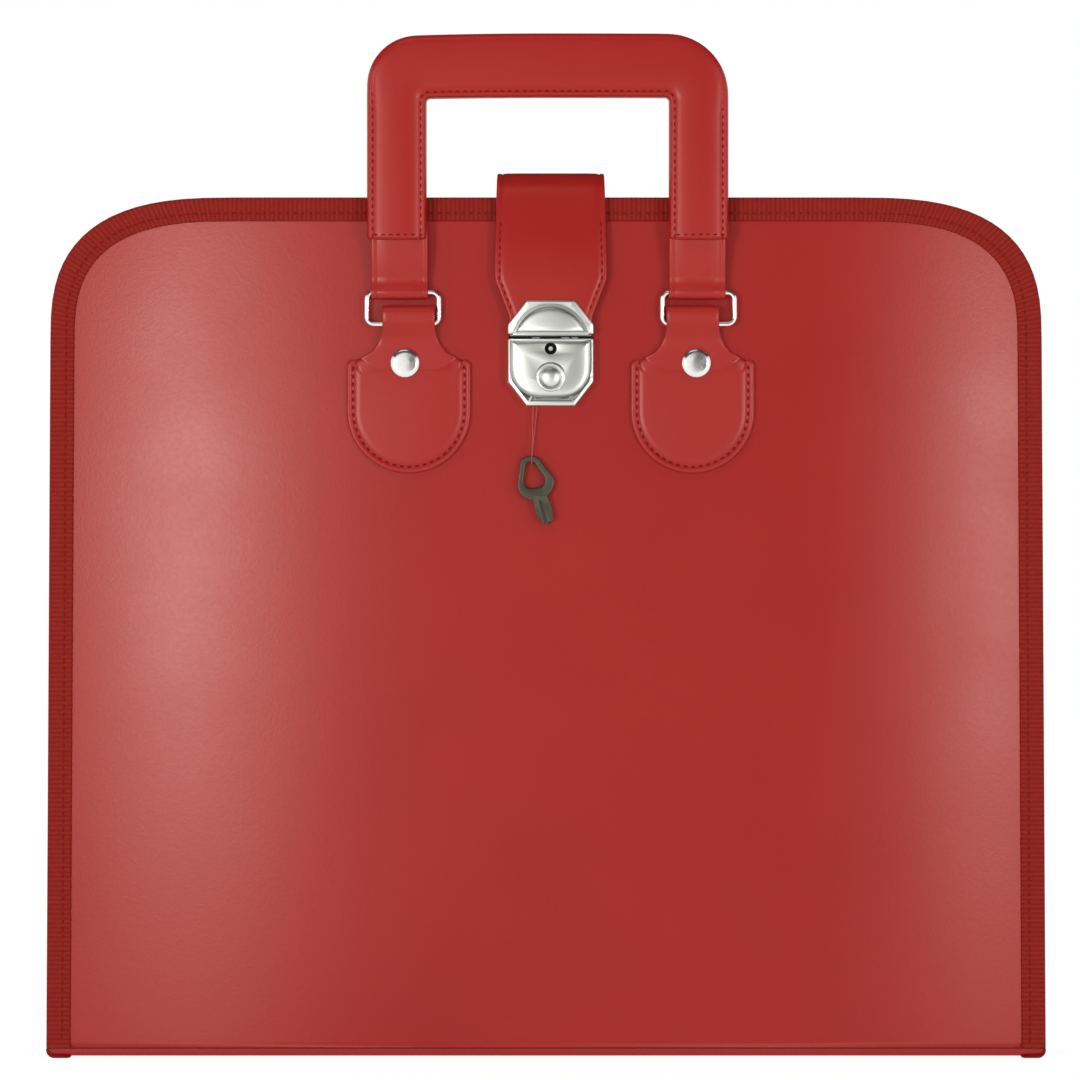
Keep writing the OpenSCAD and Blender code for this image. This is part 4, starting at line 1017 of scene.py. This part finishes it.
# Strap.
# Two plies of leatherette sewn 2.3 mm inside the edge, stitched down on the back, carried over the
# top in two soft bends, and narrowed at its front end, where the hasp's plates clamp it.
strap_s, strap_t, bend_r = 3.2, 2.6, 8
out_back = strap_s + strap_t
top_low, top_high = span("strap_top")
strap_x = (top_low.x + top_high.x) / 2
strap_half = (top_high.x - top_low.x) / 2
crest_z, hinge_z = top_high.z, top_low.z
flap_low = span("strap_flap")[0]
anchor_low = span("strap_anchor")[0]
hasp_low, hasp_high = span("hasp_plate")
narrow_z, taper_z, end_half = hasp_high.z + 9.3, hasp_high.z - 7, 18
strap_seam_in = 2.25
strap_stitches = (3.3, 2.1, 0.9, 0.55)

strap_skin = leatherette_of("calf_grain_leatherette_of_strap", "#AA1412", "#B21C18", 0.33,
                           pulled=(("Z", 1, 0.332, 3.6),))


def strap_width(s, z):
    """Half the strap's width at a place of its outer face: a little less where it bends."""
    if s < 0 or z > narrow_z:
        return strap_half - 1.2 * max(0, min(1, (z - 345) / 36))
    if z < taper_z:
        return end_half
    return end_half + (strap_half - end_half) * (z - taper_z) / (narrow_z - taper_z)


# The strap's face across its edge: rolled, raised as a rim, and pressed in where it is sewn.
sewn_edge = [(0, -0.7), (0.12, -0.3), (0.5, -0.02), (1.1, 0.05), (1.6, 0.02), (1.95, -0.2),
             (strap_seam_in, -0.34), (2.55, -0.2), (3.0, 0.02), (4.5, 0.12), (8, 0.18)]


def strap_length(bm, path, seam_from, seam_to, sewn):
    """A length of strap over a path of its outer face, and its two rows of stitches."""
    ribbon(bm, path, strap_x, strap_width, sewn_edge, strap_t)
    for side in (-1, 1):
        row = []
        for s, z in path[seam_from:seam_to + 1]:
            sunk = s - 0.2 if s > 0 else s + 0.2
            row.append(out(strap_x + side * (strap_width(s, z) - strap_seam_in), sunk, z))
        stitch_row(sewn, row, *strap_stitches)


front_face, back_face = front_y - out_back, back_y + out_back
depth = back_face - front_face
# Each length ends just short of the crest's middle, where the two lengths meet.
level_run = depth / 2 - bend_r - 0.15
climb = [(out_back, z) for z in (flap_low.z, 314, 317, taper_z, 322, 325, 328, 331, 333.5, narrow_z,
                                 338, 343, 349, 355, 361, 365, 368, 370, 371.5)]
over = [(out_back - bend_r + s, z) for s, z in arc(0, crest_z - bend_r, bend_r, 0, 90, 12)]
front_path = climb + over + [(out_back - bend_r - level_run * k / 4, crest_z) for k in range(1, 5)]
bm, sewn = bmesh.new(), bmesh.new()
strap_length(bm, front_path, 4, len(climb) - 5, sewn)
flap = place(bm, "strap_front_leatherette", strap_skin, None, "leatherette", 70)
pocket = bmesh.new()
pocket_half, pocket_z0, pocket_z1 = 13.2, flap_low.z - 2, flap_low.z + 3.5
plate(pocket, [(strap_x - pocket_half, pocket_z0), (strap_x + pocket_half, pocket_z0),
               (strap_x + pocket_half, pocket_z1), (strap_x - pocket_half, pocket_z1)],
      strap_s - 1, out_back - 0.3)
cut(flap, place(pocket, "bolt_pocket", strap_skin, None, "leatherette"))
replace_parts(flap, "strap_flap", "strap_top")
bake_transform(flap)
place(sewn, "strap_front_stitches", thread_of_seams, "strap_flap", "leatherette", 80)

step_z = body_top - binding_w
away = out_back - depth
fall = [(away + bend_r + level_run * k / 4, crest_z) for k in range(4, 0, -1)]
fall += [(away + bend_r + s, z) for s, z in arc(0, crest_z - bend_r, bend_r, 90, 180, 12)]
fall += [(away, z) for z in (372, 370, 368, 365, 362)]
for k in range(1, 7):
    sunk = strap_s * (1 + math.cos(math.pi * k / 6)) / 2
    fall.append((away + strap_s - sunk, step_z - 0.6 - 5.6 * k / 6))
fall += [(away + strap_s, z) for z in (350, 344, 338, 332, 328, 325, anchor_low.z)]
bm, sewn = bmesh.new(), bmesh.new()
strap_length(bm, fall, len(fall) - 7, len(fall) - 1, sewn)
tail = place(bm, "strap_back_leatherette", strap_skin, None, "leatherette", 70)
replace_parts(tail, "strap_anchor", "strap_top")
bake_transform(tail)
for z in (anchor_low.z + 2.6, anchor_low.z + 26):
    row = [Vector((strap_x + dx, back_y + strap_t + 0.1, z))
           for dx in (2.3 - strap_half, strap_half - 2.3)]
    stitch_row(sewn, row, *strap_stitches)
place(sewn, "strap_back_stitches", thread_of_seams, "case", "leatherette", 80)

# Lock and hasp.
# Pressed sheet steel, satin nickel plated: a pillow and a half moon are stamped up in the faces,
# the edges are rolled soft, and the button stands in a turned collar.
satin, tree, shader = finish_of("satin_nickel_plate", Metallic=1.0, Roughness=0.3)
where = add(tree, "ShaderNodeTexCoord")
cloudy = add(tree, "ShaderNodeTexNoise", {"Vector": where.outputs["Object"], "Scale": 60.0, "Detail": 1.0})
tone = add(tree, "ShaderNodeMix",
           {"Factor": cloudy.outputs["Fac"], 6: linear("#D6D7D0"), 7: linear("#DEDFD8")}, data_type="RGBA")
# Painted shade: the colour is darker down in the stamped grooves, where shade falls.
form = add(tree, "ShaderNodeNewGeometry")
hollow = add(tree, "ShaderNodeMapRange",
             {"Value": form.outputs["Pointiness"], "From Min": 0.49, "From Max": 0.42})
tone = add(tree, "ShaderNodeMix",
           {"Factor": hollow.outputs["Result"], 6: tone.outputs[2], 7: linear("#55534C")}, data_type="RGBA")
tree.links.new(tone.outputs[2], shader.inputs["Base Color"])
dull = add(tree, "ShaderNodeMapRange", {"Value": cloudy.outputs["Fac"], "From Min": 0.3, "From Max": 0.7,
                                        "To Min": 0.29, "To Max": 0.33})
tree.links.new(dull.outputs["Result"], shader.inputs["Roughness"])
# Fine upright brush marks from the belt, about 0.17 mm apart.
stretch = add(tree, "ShaderNodeMapping", {"Vector": where.outputs["Object"], "Scale": (6.0, 6.0, 0.5)})
marks = add(tree, "ShaderNodeTexNoise", {"Vector": stretch.outputs["Vector"], "Scale": 1000.0, "Detail": 3.0})
bump = add(tree, "ShaderNodeBump", {"Height": marks.outputs["Fac"], "Strength": 0.12, "Distance": 0.00001})
# The stamped faces turn away by 6 degrees at the lock's sides.
axes = add(tree, "ShaderNodeSeparateXYZ", {"Vector": where.outputs["Object"]})
aside = add(tree, "ShaderNodeMath", {0: axes.outputs["X"], 1: -lock_x * MM}, operation="ADD")
square = add(tree, "ShaderNodeMath", {0: aside.outputs[0], 1: aside.outputs[0]}, operation="MULTIPLY")
fall_off = add(tree, "ShaderNodeMath", {0: square.outputs[0], 1: -2.9}, operation="MULTIPLY")
bow_out = add(tree, "ShaderNodeBump", {"Height": fall_off.outputs[0], "Strength": 1.0, "Distance": 1.0})
tree.links.new(bow_out.outputs[0], bump.inputs["Normal"])
tree.links.new(bump.outputs[0], shader.inputs["Normal"])

lock_w, chamfer_x, chamfer_z = 36.9, 8, 10.3
lock_t, raise_t, sheet_t = 6.4, 0.8, 1
split_z, low_z, high_z = lock_high.z, lock_low.z, hasp_high.z
keyhole_z, button_z = split_z - 5.1, low_z + 12.4


def stamped(bm, outline_of, levels):
    """A stamping built up of an outline drawn in step by step, each at its own height."""
    rings = [[out(x, s, z) for x, z in outline_of(inward)] for inward, s in levels]
    loft(bm, rings, round_section=True, capped=True)


half = lock_w / 2
hasp_foot, case_top = hasp_low.z + 0.8, split_z - 0.75
moon_r, moon_foot = 15.9, hasp_foot + 0.35


def chamfered(straight_z, end_z, up):
    """A plate's corners, from one end of its straight edge round its chamfered end and back."""
    side = [(half, straight_z, 0.4), (half, end_z - up * chamfer_z, 3), (half - chamfer_x, end_z, 1.2)]
    return ([(lock_x + up * x, z, r) for x, z, r in side]
            + [(lock_x - up * x, z, r) for x, z, r in side[::-1]])


hasp_corners = chamfered(hasp_foot, high_z, 1)
case_corners = chamfered(case_top, low_z, -1)


def moon(inward):
    """The half moon's outline, drawn in by a distance."""
    r = moon_r - inward
    centre_z = high_z - 2.3 - moon_r
    foot = moon_foot + inward
    lift = math.degrees(math.asin((foot - centre_z) / r))
    return arc(lock_x, centre_z, r, lift, 180 - lift, 40)


bm = bmesh.new()
hasp_levels = [(0.4, 0), (0, 0.2), (0, 0.45), (0.12, 0.75), (0.4, 0.92), (0.9, 0.98), (2.5, 1.02)]
stamped(bm, lambda inward: drawn_in(hasp_corners, inward),
        [(inward, out_back + rise) for inward, rise in hasp_levels])
plate_of_hasp = place(bm, "hasp_plate_satin", satin, None, "nickel", 40)
bm = bmesh.new()
plate(bm, moon(-0.8), out_back + 0.5, out_back + 3)
cut(plate_of_hasp, place(bm, "moon_recess", satin, None, "nickel"))
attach(plate_of_hasp, "strap_flap")
bm = bmesh.new()
moon_levels = [(0.6, 0.3), (-0.75, 0.35), (0.3, 0.37), (0.6, 0.75), (0.8, 1.2), (1.15, 1.5),
               (1.8, 1.68), (3, 1.78), (4.5, 1.82)]
stamped(bm, moon, [(inward, out_back + rise) for inward, rise in moon_levels])
place(bm, "hasp_half_moon", satin, "strap_flap", "nickel", 40)
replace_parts(plate_of_hasp, "hasp_plate")

bm = bmesh.new()
stamped(bm, lambda inward: drawn_in(case_corners, inward),
        [(0, sheet_t), (0, lock_t - 0.75), (0.1, lock_t - 0.4), (0.35, lock_t - 0.12), (0.7, lock_t),
         (1.6, lock_t + 0.02), (4, lock_t + 0.02)])
shell = place(bm, "lock_case_satin", satin, None, "nickel", 40)
pillow_half, pillow_top, pillow_foot = 17.1, case_top - 0.9, low_z + 4.1
pillow_corners = [(lock_x - pillow_half, pillow_top, 0.8), (lock_x - pillow_half, pillow_foot, 12),
                  (lock_x + pillow_half, pillow_foot, 12), (lock_x + pillow_half, pillow_top, 0.8)]
bm = bmesh.new()
plate(bm, drawn_in(pillow_corners, -0.55), lock_t - 0.4, lock_t + 4)
cut(shell, place(bm, "pillow_recess", satin, None, "nickel"))
bm = bmesh.new()
pillow_levels = [(1.2, -0.6), (-0.6, -0.42), (0.2, -0.4), (0.4, -0.25), (0.6, 0), (0.95, 0.22),
                 (1.5, 0.36), (2.6, 0.44), (4.0, 0.48), (5.5, 0.5)]
stamped(bm, lambda inward: drawn_in(pillow_corners, inward, 6),
        [(inward, lock_t + rise) for inward, rise in pillow_levels])
pillow = place(bm, "lock_pillow_satin", satin, None, "nickel", 40)


def bore(name, x, z, r, s0, s1):
    """A round cutter along the front's depth."""
    at = Matrix.Translation(out(x, (s0 + s1) / 2, z)) @ Matrix.Rotation(math.pi / 2, 4, "X")
    tool = bmesh.new()
    bmesh.ops.create_cone(tool, cap_ends=True, segments=48, radius1=r, radius2=r, depth=s1 - s0, matrix=at)
    return place(tool, name, satin, None, "nickel")


def front_holes():
    """Cutters for the keyhole and the button's hole."""
    return (bore("keyhole", lock_x, keyhole_z, 2.6, sheet_t, 12),
            bore("button_hole", lock_x, button_z, 4.6, sheet_t, 12))


def slot(name, dx0, dx1):
    """A cutter for a slot in the case's top edge, for the bolt or a hook of the hasp."""
    z0, z1 = split_z - 2, split_z + 1
    x0, x1 = lock_x + dx0, lock_x + dx1
    tool = bmesh.new()
    plate(tool, [(x0, z0), (x1, z0), (x1, z1), (x0, z1)], 3.4, 5.0)
    return place(tool, name, satin, None, "nickel")


bm = bmesh.new()
plate(bm, drawn_in(case_corners, sheet_t), sheet_t - 1, lock_t - sheet_t)
hollow = place(bm, "lock_hollow", satin, None, "nickel")
cut(shell, hollow, *front_holes(), slot("slot_a", -8.2, -4.4), slot("slot_b", 4.4, 8.2),
    slot("slot_c", 8.8, 12))
cut(pillow, *front_holes())
soften(pillow, 0.22, 3, 50)
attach(shell, "front")
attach(pillow, "front")
collar_s, collar_foot = lock_t + raise_t, lock_t - 0.3
bm = bmesh.new()
turned(bm, [(4.95, collar_foot), (4.95, collar_s + 0.25), (5.1, collar_s + 0.48), (5.4, collar_s + 0.55),
            (5.95, collar_s + 0.48), (6.35, collar_s + 0.1), (6.4, collar_s - 0.3), (6.4, collar_foot),
            (4.95, collar_foot)], out(lock_x, 0, button_z), 64)
place(bm, "button_collar", satin, "front", "nickel", 40)
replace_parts(shell, "lock_case")

head_s0, head_s1, dome_h = 6.6, collar_s + 0.3, 1.15
bm = bmesh.new()
profile = [(0, 2.8), (1.4, 2.8), (1.4, head_s0), (4.4, head_s0), (4.5, head_s0 + 0.1),
           (4.5, head_s1 - 0.25), (4.25, head_s1)]
for a in range(6, 90, 7):
    profile.append((4.1 * math.cos(math.radians(a)), head_s1 + dome_h * math.sin(math.radians(a))))
turned(bm, profile + [(0, head_s1 + dome_h)], out(lock_x, 0, button_z), 64)
button = place(bm, "push_button_nickel", satin, "push_button", "nickel", 40)
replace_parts(button, "push_button")

# The button's spring is a coil of 0.5 mm wire, which the button's travel presses shorter.
spring_s0, spring_s1 = front_y - span("button_spring")[1].y + 0.3, head_s0 - 0.35
turns, coil_r, wire_r, turn_steps = 5, 2.3, 0.25, 20
helix = []
for k in range(turns * turn_steps + 1):
    angle, share = math.tau * k / turn_steps, k / (turns * turn_steps)
    helix.append(out(lock_x + coil_r * math.cos(angle), spring_s0 + (spring_s1 - spring_s0) * share,
                     button_z + coil_r * math.sin(angle)))
rings = []
for k, point in enumerate(helix):
    ahead = (helix[min(k + 1, len(helix) - 1)] - helix[max(k - 1, 0)]).normalized()
    aside = ahead.cross(Vector((0, 1, 0))).normalized()
    rings.append([point + (aside * px + aside.cross(ahead) * py) * wire_r
                  for px, py in arc(0, 0, 1, 0, 315, 7)])
bm = bmesh.new()
loft(bm, rings, round_section=True, capped=True)

# Plain steel inside the lock, and behind the lining: cold-rolled and zinc plated.
steel, tree, shader = finish_of("zinc_plated_steel", Metallic=1.0, Roughness=0.4)
where = add(tree, "ShaderNodeTexCoord")
grain = add(tree, "ShaderNodeTexNoise", {"Vector": where.outputs["Object"], "Scale": 500.0, "Detail": 4.0})
tone = add(tree, "ShaderNodeMix",
           {"Factor": grain.outputs["Fac"], 6: linear("#8F9296"), 7: linear("#B4B6B8")}, data_type="RGBA")
tree.links.new(tone.outputs[2], shader.inputs["Base Color"])
dull = add(tree, "ShaderNodeMapRange", {"Value": grain.outputs["Fac"], "To Min": 0.32, "To Max": 0.5})
tree.links.new(dull.outputs["Result"], shader.inputs["Roughness"])

coil = place(bm, "button_spring_wire", steel, "front", "steel", 60)
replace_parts(coil, "button_spring")
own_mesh(coil)

# The plug is oiled dark steel.
dark_steel, tree, shader = finish_of("oiled_dark_steel", Metallic=1.0, Roughness=0.45)
where = add(tree, "ShaderNodeTexCoord")
grain = add(tree, "ShaderNodeTexNoise", {"Vector": where.outputs["Object"], "Scale": 700.0, "Detail": 4.0})
tone = add(tree, "ShaderNodeMix",
           {"Factor": grain.outputs["Fac"], 6: linear("#1C1B1A"), 7: linear("#343230")}, data_type="RGBA")
tree.links.new(tone.outputs[2], shader.inputs["Base Color"])

# The base plate is nickel like the case, with painted shade: a band nearly black in the gap below the hasp,
# where the hasp's shadow falls.
gap_shaded_nickel, tree, shader = finish_of("nickel_plate_with_painted_gap_shade", Metallic=1.0, Roughness=0.35)
where = add(tree, "ShaderNodeTexCoord")
axes = add(tree, "ShaderNodeSeparateXYZ", {"Vector": where.outputs["Object"]})
below = add(tree, "ShaderNodeMapRange", {"Value": axes.outputs["Z"], "From Min": (split_z - 2.2) * MM,
                                         "From Max": (split_z - 1.4) * MM})
above = add(tree, "ShaderNodeMapRange", {"Value": axes.outputs["Z"], "From Min": (split_z + 3) * MM,
                                         "From Max": (split_z + 1.5) * MM})
band = add(tree, "ShaderNodeMath", {0: below.outputs["Result"], 1: above.outputs["Result"]},
           operation="MULTIPLY")
tone = add(tree, "ShaderNodeMix", {"Factor": band.outputs[0], 6: linear("#C9CAC3"), 7: linear("#242220")},
           data_type="RGBA")
tree.links.new(tone.outputs[2], shader.inputs["Base Color"])

dress(satin, "hasp_rivets")
dress(gap_shaded_nickel, "lock_base_plate")
dress(steel, "rivet_washers", "hasp_back_plate", "lock_back_plate", "lock_rivets", "lock_bolt",
      "lock_catch", "handle_core")
dress(dark_steel, "lock_cylinder")
